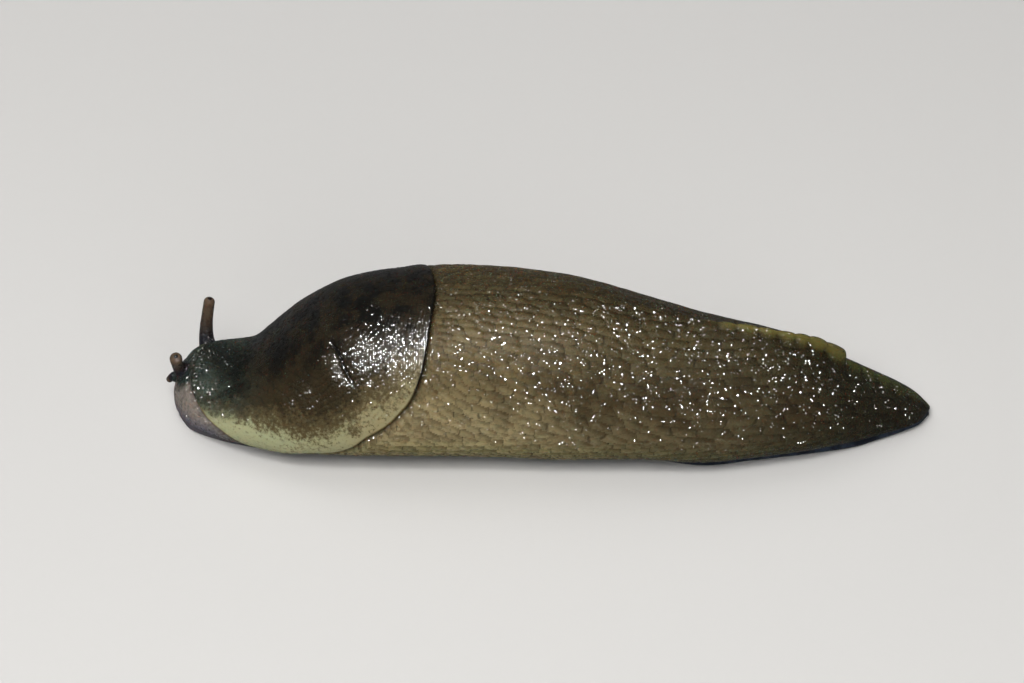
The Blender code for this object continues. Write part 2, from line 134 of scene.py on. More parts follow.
# s, half-width of the foot, half-width of the body, height of its widest line, height of the back,
# and how sharp the back is (2 is a keel)
SECTIONS = (
    (0.0, 4.4, 4.6, 2.7, 9.5, 1.6),
    (3.0, 5.2, 5.6, 3.0, 9.3, 1.4),
    (5.0, 6.3, 7.1, 3.5, 8.9, 1.15),
    (8.0, 6.9, 8.8, 4.2, 8.3, 0.95),
    (12.0, 7.5, 10.6, 5.0, 11.0, 0.95),
    (17.0, 8.3, 12.4, 6.0, 15.3, 0.95),
    (23.5, 8.1, 13.2, 7.0, 19.4, 0.95),
    (30.0, 7.7, 13.5, 7.3, 20.9, 0.95),
    (36.0, 7.7, 13.5, 7.4, 21.3, 0.95),
    (43.0, 7.8, 13.3, 7.3, 21.5, 1.0),
    (51.0, 8.2, 12.8, 7.0, 21.2, 1.1),
    (61.7, 7.2, 11.8, 6.3, 19.2, 1.4),
    (69.6, 8.2, 11.0, 5.6, 17.4, 1.7),
    (75.5, 7.2, 9.9, 5.1, 16.3, 1.9),
    (82.7, 6.4, 8.5, 4.2, 13.6, 2.0),
    (88.0, 5.8, 6.9, 3.4, 9.9, 2.0),
    (92.0, 4.6, 5.4, 2.6, 7.3, 1.9),
    (96.5, 2.9, 3.5, 1.7, 4.2, 1.6),
    (99.4, 1.0, 1.3, 1.1, 1.9, 1.3),
)
WIDEST_AT = 0.3
GROOVE_HEIGHTS = ((0, 1.6), (85, 1.6), (99.4, 1.0))
SNOUT_ROUND, CHIN_ROUND, SNOUT_HEIGHT = 4.0, 2.2, 3.0
FACE_LEAN, FACE_LENGTH = 0.12, 8.0
TAIL_ROUND, TAIL_TIP_HIGH = 2.0, 0.3  # radius of the tip seen from above, and its share of full height
HEAD_END, NECK_END, TRUNK_END = 8.5, 20.0, 66.0

AXIS_S = np.linspace(0, LENGTH, 1001)
AXIS_ANGLE = np.radians(from_table(AXIS_S, HEADINGS))


def run_up(rate):
    """The running sum of a rate along the axis, by the trapezium rule."""
    return np.concatenate([[0], np.cumsum((rate[1:] + rate[:-1]) / 2 * np.diff(AXIS_S))])


AXIS_X = SNOUT_AT[0] + run_up(np.cos(AXIS_ANGLE))
AXIS_Y = SNOUT_AT[1] - run_up(np.sin(AXIS_ANGLE))
print("axis ends in mm:", AXIS_X[[0, -1]].round(1), AXIS_Y[[0, -1]].round(1))


# %% The body's surface without its wrinkles
SMALL_S, SMALL_W = 0.02, 0.004  # steps that slopes are measured over


def place(s, side, z):
    """Points beside the axis: side is the distance to the animal's right."""
    angle = np.interp(s, AXIS_S, AXIS_ANGLE)
    x = np.interp(s, AXIS_S, AXIS_X) + side * np.sin(angle)
    y = np.interp(s, AXIS_S, AXIS_Y) + side * np.cos(angle)
    return np.stack([x, y, z + 0 * x], -1)


def rounded(distance, radius):
    """The share of full width at a distance from a rounded end: a quarter circle."""
    return np.sqrt(np.clip(1 - (np.clip(radius - distance, 0, None) / radius) ** 2, 0, 1))


def outline(s, w):
    """The outer surface with the mantle on it. Each cross section is a quarter ellipse from the
    foot out to the widest line, and above it side = half * cos(angle)^sharp, z rising as the sine."""
    s, w = np.broadcast_arrays(np.asarray(s, float), np.asarray(w, float))
    foot, half, wide_z, back_z, sharp = [from_table(s, SECTIONS, k) for k in range(1, 6)]
    up = 1 - np.abs(w)
    lower = np.clip(up / WIDEST_AT, 0, 1) * math.pi / 2
    upper = np.clip((up - WIDEST_AT) / (1 - WIDEST_AT), 0, 1) * math.pi / 2
    low_z = from_table(s, GROOVE_HEIGHTS)
    side = np.where(up < WIDEST_AT, foot + (half - foot) * np.sin(lower), half * np.cos(upper) ** sharp)
    z = np.where(up < WIDEST_AT, wide_z - (wide_z - low_z) * np.cos(lower),
                 wide_z + (back_z - wide_z) * np.sin(upper))
    snout = rounded(s, SNOUT_ROUND)
    chin = rounded(s, CHIN_ROUND)
    tail = rounded(LENGTH - s, TAIL_ROUND)
    z = SNOUT_HEIGHT + (z - SNOUT_HEIGHT) * np.where(z > SNOUT_HEIGHT, snout, chin)
    z = np.where(s > TRUNK_END, low_z + (z - low_z) * (TAIL_TIP_HIGH + (1 - TAIL_TIP_HIGH) * tail), z)
    lean = FACE_LEAN * np.clip(z - SNOUT_HEIGHT, 0, None) * (1 - between(s, 0, FACE_LENGTH))
    return place(s + lean, np.sign(w) * side * snout * tail, z)


def outward(surface, s, w):
    """Unit normals of a surface of s and w: the cross product of its central differences."""
    s, w = np.broadcast_arrays(np.asarray(s, float), np.asarray(w, float))
    along = surface(s + SMALL_S, w) - surface(s - SMALL_S, w)
    across = surface(s, np.clip(w + SMALL_W, -1, 1)) - surface(s, np.clip(w - SMALL_W, -1, 1))
    return unit(np.cross(along, across))


GIRTH_ROWS, GIRTH_PLACES = 120, 60
GIRTH_S = np.linspace(0.5, LENGTH - 0.5, GIRTH_ROWS)
section = outline(GIRTH_S[:, None], np.linspace(0, 1, GIRTH_PLACES)[None, :])
DOWN = np.linalg.norm(np.diff(section, axis=1), axis=-1).cumsum(1)
DOWN = np.concatenate([0 * DOWN[:, :1], DOWN], 1)
GIRTH = DOWN[:, -1]
print("most skin from the back to the foot, one side:", GIRTH.max().round(1), "mm")


def from_back(s, w):
    """Millimetres of skin from the back down to w: the table DOWN, blended between its entries."""
    i = np.clip(np.interp(s, GIRTH_S, np.arange(GIRTH_ROWS)), 0, GIRTH_ROWS - 1.001)
    j = np.clip(np.abs(w) * (GIRTH_PLACES - 1), 0, GIRTH_PLACES - 1.001)
    i0, j0 = i.astype(int), j.astype(int)
    a, b = i - i0, j - j0
    upper = DOWN[i0, j0] * (1 - a) + DOWN[i0 + 1, j0] * a
    lower = DOWN[i0, j0 + 1] * (1 - a) + DOWN[i0 + 1, j0 + 1] * a
    return upper * (1 - b) + lower * b


# %% The mantle's rim and the bed it lies in
MANTLE_CENTRE = 19.5
RIM_FLANK = 14.0  # millimetres of flank for one unit of w, near enough for angles round the mantle
MANTLE_RIM = (
    (34.7, -0.04), (34.2, -0.22), (33.6, -0.37), (32.3, -0.50), (30.0, -0.60), (25.5, -0.72), (19.0, -0.82),
    (12.8, -0.87), (10.5, -0.79), (8.4, -0.67), (6.7, -0.55), (5.2, -0.456), (3.8, -0.33), (3.3, -0.12),
    (3.3, 0.12), (3.8, 0.33), (5.2, 0.456), (6.8, 0.57), (8.8, 0.70), (11.0, 0.81), (14.0, 0.88),
    (19.0, 0.82), (25.5, 0.72), (29.6, 0.60), (31.8, 0.46), (33.1, 0.28), (34.2, 0.10),
)
LIP_THICK, LIP_PROUD = 0.5, 0.25
FLANK_LONG = 29.0  # millimetres of flank for one unit of w at the mantle
MANTLE_BED = 1.7  # how far the body lies below its outline under the middle of the mantle
SEAT_GAP = 0.05
SEAT_EDGE, BED_EDGE = (0.995, 1.035), (0.8, 0.98)  # shares of the rim's distance


def rim_radius(angle, centre=MANTLE_CENTRE):
    """Distance from a point on the back to the mantle's rim, in the plane of s and w."""
    points = np.array(MANTLE_RIM)
    ds = points[:, 0] - centre
    dw = points[:, 1] * RIM_FLANK
    turn = np.arctan2(-dw, ds) % (2 * math.pi)
    order = np.argsort(turn)
    turn = turn[order]
    radius = np.hypot(ds, dw)[order]
    turn = np.concatenate([turn[-3:] - 2 * math.pi, turn, turn[:3] + 2 * math.pi])
    radius = np.concatenate([radius[-3:], radius, radius[:3]])
    return curve_through(angle % (2 * math.pi), turn, radius)


def mantle_ratio(s, w, centre=MANTLE_CENTRE):
    """0 at the mantle's centre and 1 on its rim: the distance as a share of the rim's."""
    ds = s - centre
    dw = w * RIM_FLANK
    return np.hypot(ds, dw) / rim_radius(np.arctan2(-dw, ds), centre)


def body_inset(s, w):
    """How deep the body's skin lies below the outline: the lip's seat, and deeper inside the rim."""
    ratio = mantle_ratio(s, w)
    seat = LIP_THICK - LIP_PROUD + SEAT_GAP
    return seat * (1 - between(ratio, *SEAT_EDGE)) + (MANTLE_BED - seat) * (1 - between(ratio, *BED_EDGE))


def body(s, w):
    """The surface of head, neck, trunk and tail, without its wrinkles."""
    return outline(s, w) - outward(outline, s, w) * body_inset(s, w)[..., None]


# %% [markdown]
# ## Meshes from whole grids
#
# Every piece of skin is a grid of points with two directions, along and around. The faces, the bake
# map and the normals all follow from the grid's numbering, so they are worked out as whole arrays
# and handed to Blender in one call each. That is far quicker than adding faces one by one, and the
# order of the corners makes every face point outwards.

# %% A closed skin from a grid
def grid_faces(rows, around):
    """Quads of a closed tube, and triangles to a pole at each end, wound to face outwards.

    Point i, j is row i, place j round it. The poles come after the last row.
    """
    i, j = np.meshgrid(np.arange(rows - 1), np.arange(around), indexing="ij")
    k = (j + 1) % around
    quads = np.stack([i * around + j, (i + 1) * around + j, (i + 1) * around + k, i * around + k], -1)
    j = np.arange(around)
    k = (j + 1) % around
    first, last = rows * around, rows * around + 1
    base = (rows - 1) * around
    start = np.stack([first + 0 * j, j, k], -1)
    end = np.stack([base + j, last + 0 * j, base + k], -1)
    return quads.reshape(-1, 4), np.concatenate([start, end])


CAP = 0.006  # share of the bake map that each end's triangles get


def grid_map(rows, around):
    """The bake map: around goes across it and along goes up it, each from 0 to 1."""
    i, j = np.meshgrid(np.arange(rows - 1), np.arange(around), indexing="ij")
    up = CAP + (1 - 2 * CAP) * i / (rows - 1)
    more = (1 - 2 * CAP) / (rows - 1)
    left, right = j / around, (j + 1) / around
    quads = np.stack([left, up, left, up + more, right, up + more, right, up], -1)
    j = np.arange(around)
    left, right = j / around, (j + 1) / around
    middle = (left + right) / 2
    start = np.stack([middle, 0 * j, left, CAP + 0 * j, right, CAP + 0 * j], -1)
    end = np.stack([left, 1 - CAP + 0 * j, middle, 1 + 0 * j, right, 1 - CAP + 0 * j], -1)
    return np.concatenate([quads.ravel(), start.ravel(), end.ravel()])


def grid_normals(grid):
    """Unit normals of a grid that is closed around: along cross across, by central differences."""
    along = np.gradient(grid, axis=0)
    across = np.roll(grid, -1, axis=1) - np.roll(grid, 1, axis=1)
    return unit(np.cross(along, across))


def add_object(name, data):
    item = bpy.data.objects.new(name, data)
    bpy.context.scene.collection.objects.link(item)
    return item


def skin_object(name, node, grid, values=None, normals=None, poles=None):
    """An object from a grid of points in millimetres, with named values at its points. It stands
    for a node of the solids. Its poles are given, or lie in the middle of its first and last ring."""
    rows, around = grid.shape[:2]
    poles = (grid[0].mean(0), grid[-1].mean(0)) if poles is None else poles
    points = np.concatenate([grid.reshape(-1, 3), poles]) * MM
    quads, triangles = grid_faces(rows, around)
    corners = np.concatenate([quads.ravel(), triangles.ravel()])
    starts = np.concatenate([np.arange(len(quads)) * 4, quads.size + np.arange(len(triangles)) * 3])
    mesh = bpy.data.meshes.new(name)
    mesh.vertices.add(len(points))
    mesh.vertices.foreach_set("co", points.ravel())
    mesh.loops.add(len(corners))
    mesh.loops.foreach_set("vertex_index", corners.astype(np.int32))
    mesh.polygons.add(len(starts))
    mesh.polygons.foreach_set("loop_start", starts.astype(np.int32))
    mesh.update(calc_edges=True)
    mesh.shade_smooth()
    mesh.uv_layers.new(name="OFBake").data.foreach_set("uv", grid_map(rows, around))
    for key, value in (values or {}).items():
        flat = np.concatenate([value.ravel(), [value[0].mean(), value[-1].mean()]])
        mesh.attributes.new(key, "FLOAT", "POINT").data.foreach_set("value", flat.astype(np.float32))
    if normals is not None:
        ends = np.stack([normals[0].mean(0), normals[-1].mean(0)])
        flat = unit(np.concatenate([normals.reshape(-1, 3), ends]))
        mesh.normals_split_custom_set_from_vertices(flat.tolist())
    item = add_object(name, mesh)
    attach(item, "root")
    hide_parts(node)
    print(f"{name}: {2 * len(quads) + len(triangles)} triangles")
    return item


# %% [markdown]
# ## Tubercles
#
# Behind its mantle a slug of this kind is covered with long, low tubercles in staggered rows, with
# dark furrows between them. Small ones lie near the foot and large ones on the back. A texture
# could only paint them. Here each is a low dome in the mesh: for every point of the skin the nine
# nearest domes are tried, and the highest wins, which leaves a sharp furrow wherever two meet.

# %% Domes in staggered rows
DOME_HALF = 0.66  # half a dome's length and width in pitches: more than 0.5, so that domes meet
JITTER_ALONG, JITTER_ACROSS, TILT, ARCH = 0.3, 0.2, 0.4, 0.26
SMALLEST, SIZE_SPREAD = 0.82, 0.28
ROWS_THAT_GROW = 14
RIGHT_ROWS = 100  # rows of the right side are counted from here, so that the sides differ


def dome_rows(along, across, seed, upper, length=1.0, longer=0.0):
    """Long flat domes in rows. across counts rows, and along divided by the row's length counts
    domes in a row. upper is the sign of across that leads up the flank.

    A dome's height is (1 - d^2)^0.5, with d^2 = |x|^3 + |y|^2 and x, y its own two coordinates,
    which are jittered, slightly tilted, and arched upwards. Returns the height, how far it stands
    over the next best dome's, a number drawn for the dome, and how far towards its upper and rear
    edge it is.
    """
    best = np.zeros_like(along)
    second = np.zeros_like(along)
    lot = np.full_like(along, 0.5)
    lie = np.zeros_like(along)
    nearest_row = np.round(across)
    for row_step in (-1, 0, 1):
        row = nearest_row + row_step
        long = length + longer * np.clip(row % RIGHT_ROWS, 0, ROWS_THAT_GROW)
        count = along / long + 0.5 * (row % 2) + 0.4 * scatter(row, 3, seed)
        nearest = np.round(count)
        for step in (-1, 0, 1):
            dome = nearest + step
            x = (count - dome + JITTER_ALONG * (scatter(row, dome, seed + 1) - 0.5)) / DOME_HALF
            y = (across - row + JITTER_ACROSS * (scatter(row, dome, seed + 2) - 0.5)) / DOME_HALF
            y = y + TILT * (scatter(row, dome, seed + 3) - 0.5) * x + ARCH * upper * x**2
            size = SMALLEST + SIZE_SPREAD * scatter(row, dome, seed + 4)
            height = size * np.clip(1 - np.abs(x) ** 3 - y**2, 0, None) ** 0.5
            wins = height > best
            second = np.where(wins, best, np.maximum(second, height))
            best = np.where(wins, height, best)
            lot = np.where(wins, scatter(row, dome, seed + 5), lot)
            lie = np.where(wins, 0.8 * upper * y + 0.4 * x, lie)
    return best, best - second, lot, lie


# %% [markdown]
# One set of rows can't cover a body that tapers: it would crowd at the tail. So the rows are counted
# from the keel down, and on the tail they run out into the keel. A narrow second set of small scales
# is counted from the foot up, and a third, thin and crowded, fans out from under the mantle's rim.

# %% Three sets of rows, joined
# s, pitch of the rows, length of the tubercles, in mm
TUBERCLE_SIZES = (
    (0, 0.9, 2.0), (33, 0.92, 2.1), (40, 1.0, 2.3), (50, 1.12, 2.7), (60, 1.19, 3.0), (68, 1.2, 3.5),
    (76, 1.2, 4.0), (86, 1.1, 3.5), (99.4, 0.8, 2.4),
)
RUN_OUT_FROM, RUN_OUT = 62.0, 0.21  # where the rows start to run into the keel, and at what slope
FOOT_ROW_HIGH, FOOT_ROW_GROWS = 0.72, 0.028  # pitch next to the foot, and its growth for each mm up
FOOT_ROW_LONG, FOOT_ROW_LONGER = 1.3, 0.06
FAN_HIGH, FAN_LONG = 0.66, 1.9
BELT_AT, BELT_WAVERS, BELT_SOFT = 0.31, 0.03, 0.025  # shares of the way up where the small scales end
WANDER = 0.12  # how far rows and domes stray, in pitches
TUBERCLE_HIGH = 0.22


def pace(s):
    """s as the tubercles count it: the running sum of 1 / length."""
    return np.interp(s, AXIS_S, run_up(1 / from_table(AXIS_S, TUBERCLE_SIZES, 2)))


def tubercles(s, w):
    """The share of full height, the lead over the next dome, the dome's number, the place on it."""
    ratio = mantle_ratio(s, w)
    pitch = from_table(s, TUBERCLE_SIZES)
    down = from_back(s, w)
    side = np.where(w < 0, 0, RIGHT_ROWS)
    count = pace(s) + WANDER * drift(s / 6, 8 * w, 11)
    run_out = RUN_OUT * np.clip(s - RUN_OUT_FROM, 0, None)
    spread = 1 + 0.05 * between(ratio, 1.0, 1.4)
    rows = (down / spread + run_out) / pitch + WANDER * drift(s / 4, 12 * w, 12)
    back = dome_rows(count, rows + side, 20, -1)
    from_foot = np.interp(s, GIRTH_S, GIRTH) - down + 0.1 * drift(s / 4, 16 * w, 13)
    rows = np.log(1 + FOOT_ROW_GROWS * from_foot / FOOT_ROW_HIGH) / FOOT_ROW_GROWS
    low = dome_rows(s + 0 * w, rows + side, 30, 1, FOOT_ROW_LONG, FOOT_ROW_LONGER)
    ray = w / np.clip(ratio, 0.5, None) * FLANK_LONG
    fan = dome_rows(s + 0 * w, ray / FAN_HIGH + 0.3 * drift(s / 3, 20 * w, 14), 40, -1, FAN_LONG)

    belt = BELT_AT + BELT_WAVERS * drift(s / 5, 0 * s, 15)
    upper = between(1 - np.abs(w), belt - BELT_SOFT, belt + BELT_SOFT)
    near_rim = 1 - between(ratio, 1.02, 1.12)
    weights = (upper * (1 - near_rim), (1 - upper) * (1 - near_rim), 0.8 * near_rim)
    sets = (back, low, fan)
    heights = np.stack([weight * made[0] for weight, made in zip(weights, sets)])
    winner = heights.argmax(0)[None]
    rest = [np.take_along_axis(np.stack([made[k] for made in sets]), winner, 0)[0] for k in (1, 2, 3)]
    return heights.max(0), *rest


# %% [markdown]
# ## Keel, furrow and face
#
# From the middle of the tail a keel runs along the back: a row of larger lumps that ends in a step.
# Beside the foot the skin dips into a furrow. The head has no rows, only a fine net of creases. They
# could be sculpted one after another, but as heights of their own they are simply added, and each
# can be changed without the rest.

# %% Keel, head creases and the furrow over the foot
KEEL_FROM, KEEL_HIGH, KEEL_SPREAD = 66.0, 0.38, 0.066
KEEL_STEP, KEEL_STEP_HIGH, KEEL_RISE, KEEL_DROP = 86.8, 0.95, 10.0, 1.1
KEEL_LONG, KEEL_END = 2.3, (94, 98)  # length of a lump in mm, and where the keel fades out
FURROW_DEEP, FURROW_WIDE = 0.3, 0.7
CREASE_STRONG, CREASE_FINE = 0.1, 0.05


def keel(s, w):
    """Lumps |sin|^0.6 along the crest, a rise before the step, and a bell across. Returns the
    height in mm, and how much of the skin is keel."""
    phase = (s + 0.8 * drift(s / 4, 0 * s, 32)) / KEEL_LONG
    lumps = np.abs(np.sin(math.pi * phase)) ** 0.6
    wide = KEEL_SPREAD * (0.8 + 0.5 * lumps) * (1 + 0.9 * between(s, 82, 94))
    crest = KEEL_HIGH * (0.45 + 0.55 * lumps) * between(s, KEEL_FROM, KEEL_FROM + 7)
    rise = between(s, KEEL_STEP - KEEL_RISE, KEEL_STEP) * (1 - between(s, KEEL_STEP, KEEL_STEP + KEEL_DROP))
    height = (crest + KEEL_STEP_HIGH * rise) * bump_at(w, 0, wide) * (1 - between(s, *KEEL_END))
    keeled = between(s, KEEL_FROM, KEEL_FROM + 10) * bump_at(w, 0, 1.5 * wide)
    return height, keeled * (0.7 + 0.3 * lumps)


def creases(s, w):
    """A net of fine creases on the head: thin lines where two smooth noises cross zero."""
    first = np.abs(drift(s / 0.9, w * 12, 41))
    second = np.abs(drift(s / 0.5 + 3.1, w * 22, 42))
    return CREASE_STRONG * between(first, 0, 0.3) + CREASE_FINE * between(second, 0, 0.35)


def relief(s, w):
    """All heights on the body's skin in mm, with the values that its colours follow."""
    share, lead, lot, lie = tubercles(s, w)
    girth = np.interp(s, GIRTH_S, GIRTH)
    edge = girth - from_back(s, w)
    full = 0.75 + 0.25 * between(girth, 8, 22)
    low = 0.6 + 0.4 * between(edge, 1, 6)
    rowed = between(mantle_ratio(s, w), 0.99, 1.02) * between(s, 6.5, 11)
    near_keel = 1 - between(s, KEEL_FROM, KEEL_FROM + 6) * bump_at(w, 0, 1.1 * KEEL_SPREAD)
    keel_height, keeled = keel(s, w)
    height = TUBERCLE_HIGH * full * low * rowed * near_keel * share + keel_height
    height = height + creases(s, w) * (1 - between(s, 7, 12)) * between(s, 1.0, 2.5)
    furrow = FURROW_DEEP * (1 - between(edge, 0.05, FURROW_WIDE)) * between(s, 2, 6)
    lead = lead * rowed + (1 - rowed)
    return height - furrow, {"lead": lead, "lot": lot, "lie": lie * rowed, "keeled": keeled}


# %% [markdown]
# ## The mouth
#
# The mouth is an upright slit low on the snout's front, between two soft lips that are puckered by
# folds running out from it. It could be cut with a boolean, but a cut has hard edges. It is easier
# to push the front of the snout forward or back by a formula, because lips have no edges at all.

# %% The head's own directions and its lips
HEAD_HEADING = 27.0
OCULAR_ROOTS = {"left": (2.15, -0.35), "right": (2.15, 0.43)}
ORAL_ROOTS = {"left": (0.35, -0.48), "right": (0.35, 0.48)}
MOUTH_UP = 3.45  # height of the mouth's middle
SLIT_HALF, SLIT_WIDE, SLIT_DEEP = 0.55, 0.15, 0.55
LIP_AT, LIP_WIDE, LIP_FORWARD, PUCKERS = 0.42, 0.26, 0.2, 11
FOLD_ROUND, FOLD_WIDE, FOLD_FORWARD = 1.15, 0.22, 0.08  # a low fold round both lips
CROWN_FROM, CROWN_FULL = 5.8, 7.4  # heights between which the head's skin turns dark
OCULAR_PATCH, ORAL_PATCH = 3.4, 1.7  # how far the dark reaches round a tentacle's root


def head_frame():
    """Unit vectors forward, to the animal's right, and up, at the head."""
    turn = math.radians(HEAD_HEADING)
    forward = np.array([-math.cos(turn), math.sin(turn), 0])
    right = np.array([math.sin(turn), math.cos(turn), 0])
    return forward, right, np.array([0, 0, 1.0])


def lips(points):
    """How far the front of the snout is pushed forward, by the distance to the slit of the mouth."""
    forward, right, up = head_frame()
    snout = np.array([*SNOUT_AT, MOUTH_UP])
    side = (points - snout) @ right
    high = (points - snout) @ up
    ahead = (points - snout) @ forward
    past = np.clip(np.abs(high) - SLIT_HALF, 0, None)
    away = np.hypot(side, past)
    turn = np.arctan2(high, side)
    pucker = 1 + 0.25 * np.sin(PUCKERS * turn + 1.3 * np.sin(2 * turn))
    lip = LIP_FORWARD * pucker * bump_at(away, LIP_AT, LIP_WIDE)
    outer = FOLD_FORWARD * bump_at(away, FOLD_ROUND, FOLD_WIDE)
    slit = SLIT_DEEP * bump_at(away, 0, SLIT_WIDE)
    front = between(ahead, -1.2, -0.3)
    return (lip + outer - slit) * front


def crown(points):
    """The dark part of the head: what is high on it, and a soft patch round each tentacle's root."""
    dark = between(points[..., 2], CROWN_FROM, CROWN_FULL)
    for roots, patch in ((OCULAR_ROOTS, OCULAR_PATCH), (ORAL_ROOTS, ORAL_PATCH)):
        for root in roots.values():
            away = np.linalg.norm(points - body(*root), axis=-1)
            dark = np.maximum(dark, 1 - between(away, patch / 2, patch))
    return dark


# %% The whole skin, cut in four lengths
SKIN_STEP = 0.17
SKIN_COLUMNS = 340
BELLY_COLUMNS = 12
SNOUT_ROWS = 84


def length_rows(start, end):
    return np.linspace(start, end, math.ceil((end - start) / SKIN_STEP) + 1)


snout_s = SNOUT_ROUND * (1 - np.cos(math.pi / 2 * np.linspace(0.006, 1, SNOUT_ROWS) ** 1.25))
tip_s = LENGTH - TAIL_ROUND * (1 - np.cos(np.linspace(math.pi / 2, 0.05, 18)))
lengths = [
    np.concatenate([snout_s, length_rows(SNOUT_ROUND, HEAD_END)[1:]]),
    length_rows(HEAD_END, NECK_END),
    length_rows(NECK_END, TRUNK_END),
    np.concatenate([length_rows(TRUNK_END, LENGTH - TAIL_ROUND), tip_s[1:]]),
]
skin_s = np.concatenate([lengths[0]] + [part[1:] for part in lengths[1:]])[:, None]
skin_w = np.linspace(-1, 1, SKIN_COLUMNS + 1)[None, :]
heights, marks = relief(*np.broadcast_arrays(skin_s, skin_w))
over = body(skin_s, skin_w) + outward(body, skin_s, skin_w) * heights[..., None]
over = over + lips(over)[..., None] * head_frame()[0]

share = np.linspace(0, 1, BELLY_COLUMNS + 1)[None, 1:-1, None]
under = over[:, -1:] + (over[:, :1] - over[:, -1:]) * share
skin_grid = np.concatenate([over, under], 1)
skin_normals = grid_normals(skin_grid)
print("skin grid:", skin_grid.shape[:2], "tallest relief", heights.max().round(2), "mm")


# %% [markdown]
# A mesh of the whole skin would be too heavy for one piece, so it is cut in the four lengths that
# the solids have. Neighbours share the points and the normals along their cut, which were worked
# out before it, so the light runs over it and no seam shows.

# %% One object for each length
def belly_filled(value):
    """Values over the back, carried on under the belly by the value at the foot."""
    edge = np.repeat(value[:, -1:], BELLY_COLUMNS - 1, 1)
    return np.concatenate([value, edge], 1)


marks["aft"] = np.broadcast_to(skin_s / 100, heights.shape)
marks["up"] = np.broadcast_to(1 - np.abs(skin_w), heights.shape)
marks["crown"] = crown(over)
marks["rim"] = np.clip(mantle_ratio(*np.broadcast_arrays(skin_s, skin_w)), 0, 2)
marks = {key: belly_filled(value) for key, value in marks.items()}

skins = {}
start = 0
slots = {"head": "face_skin", "neck": "neck_skin", "trunk": "back_skin", "tail": "tail_skin"}
for (name, slot), rows in zip(slots.items(), lengths):
    stop = start + len(rows)
    cut = slice(start, stop)
    values = {key: value[cut] for key, value in marks.items()}
    skins[name] = skin_object("skin_" + name, name, skin_grid[cut], values, skin_normals[cut])
    start = stop - 1

# %% [markdown]
# ## Foot
#
# The sole is flat and has three long fields, and its edge shows from above as a narrow dark fringe
# with fine upright lines. It could be a slab cut to the body's outline, but the fringe bulges and
# wavers, and a slab has hard edges. So the profile across it is a closed line that is carried along
# the axis. Its top edge runs a little into the body, so that no light shows through the furrow.

# %% The sole and its fringe
FOOT_STEP = 0.25
FRINGE_LINES = 0.42  # millimetres from one fine line of the fringe to the next
FOOT_TUCK = 0.25  # how far the foot reaches up into the body
FOOT_BEHIND = 0.3  # how far behind the snout's tip it starts

foot_ends = 1 - np.cos(np.linspace(0.04, math.pi / 2, 24))
foot_s = np.concatenate([
    FOOT_BEHIND + SNOUT_ROUND * foot_ends,
    np.arange(FOOT_BEHIND + SNOUT_ROUND + FOOT_STEP, LENGTH - TAIL_ROUND - FOOT_STEP / 2, FOOT_STEP),
    LENGTH - TAIL_ROUND * foot_ends[::-1],
])
half = from_table(foot_s, SECTIONS) * rounded(foot_s - FOOT_BEHIND, SNOUT_ROUND)
half = half * rounded(LENGTH - foot_s, TAIL_ROUND)
top = from_table(foot_s, GROOVE_HEIGHTS)

# inward shift in mm, and height as a share of the groove's
FRINGE_PROFILE = (
    (0.50, 0.0), (0.22, 0.03), (0.05, 0.14), (0.0, 0.28), (0.03, 0.42),
    (0.10, 0.56), (0.20, 0.70), (0.30, 0.82), (0.42, 0.93), (0.60, 1.0),
)
LINE_DEEP = 0.035
TOP_COLUMNS, SOLE_COLUMNS = 9, 22
SOLE_GROOVE_AT, SOLE_GROOVE_DEEP = 0.42, 0.22  # share of the half-width, and mm
SOLE_INSET, TOP_INSET = 0.6, 0.75  # how far inside the body's edge sole and top edge lie, in mm


def foot_side(sign):
    """One edge of the foot from the sole up to the furrow, with its fine upright lines."""
    rings = []
    own_side = 0 * foot_s + sign
    for inward, height in FRINGE_PROFILE:
        show = math.sin(math.pi * min(1, height + 0.05))
        phase = foot_s / FRINGE_LINES + 0.4 * drift(foot_s / 2, 0 * foot_s, 51)
        lines = LINE_DEEP * np.cos(2 * math.pi * phase)
        wave = 0.1 * drift(foot_s / 3.5, own_side, 52) + 0.05 * drift(foot_s / 1.2, own_side, 53)
        inset = np.minimum(inward + 0.1 - (lines + wave) * show, 0.8 * half)
        rings.append(place(foot_s, sign * (half - inset), height * top))
    return rings


def foot_floor():
    """The sole: flat, with two shallow grooves that part its three fields."""
    rings = []
    for share in np.linspace(1, -1, SOLE_COLUMNS + 2)[1:-1]:
        groove = SOLE_GROOVE_DEEP * bump_at(abs(share), SOLE_GROOVE_AT, 0.05)
        rings.append(place(foot_s, share * (half - SOLE_INSET), groove * np.minimum(1, half / 3)))
    return rings


foot_top = [place(foot_s, share * np.clip(half - TOP_INSET, 0.05, None), top + FOOT_TUCK)
            for share in np.linspace(-1, 1, TOP_COLUMNS)]
foot_grid = np.stack(foot_side(-1) + foot_top + foot_side(1)[::-1] + foot_floor(), 1)
rise = [height for _, height in FRINGE_PROFILE]
foot_up = np.concatenate([rise, np.ones(TOP_COLUMNS), rise[::-1], np.full(SOLE_COLUMNS, -0.2)])
foot_marks = {
    "up": np.broadcast_to(foot_up, foot_grid.shape[:2]),
    "aft": np.broadcast_to(foot_s[:, None] / 100, foot_grid.shape[:2]),
}
foot = skin_object("skin_foot", "foot", foot_grid, foot_marks)

# %% [markdown]
# ## Mantle
#
# The mantle is a loose shield of skin over the slug's fore part, with a free rim. Its surface has a
# fingerprint of fine ridges round a point far back on it, broken up into grains. On its left side
# lies one deep crease with a fold beside it, and on its right is the breathing opening, with a slit
# down to the rim. Noise could roughen the skin, but these ridges have a direction. So they are a wave
# of the distance from the middle to the rim, which follows the rim near it and closes into rings at
# the middle.

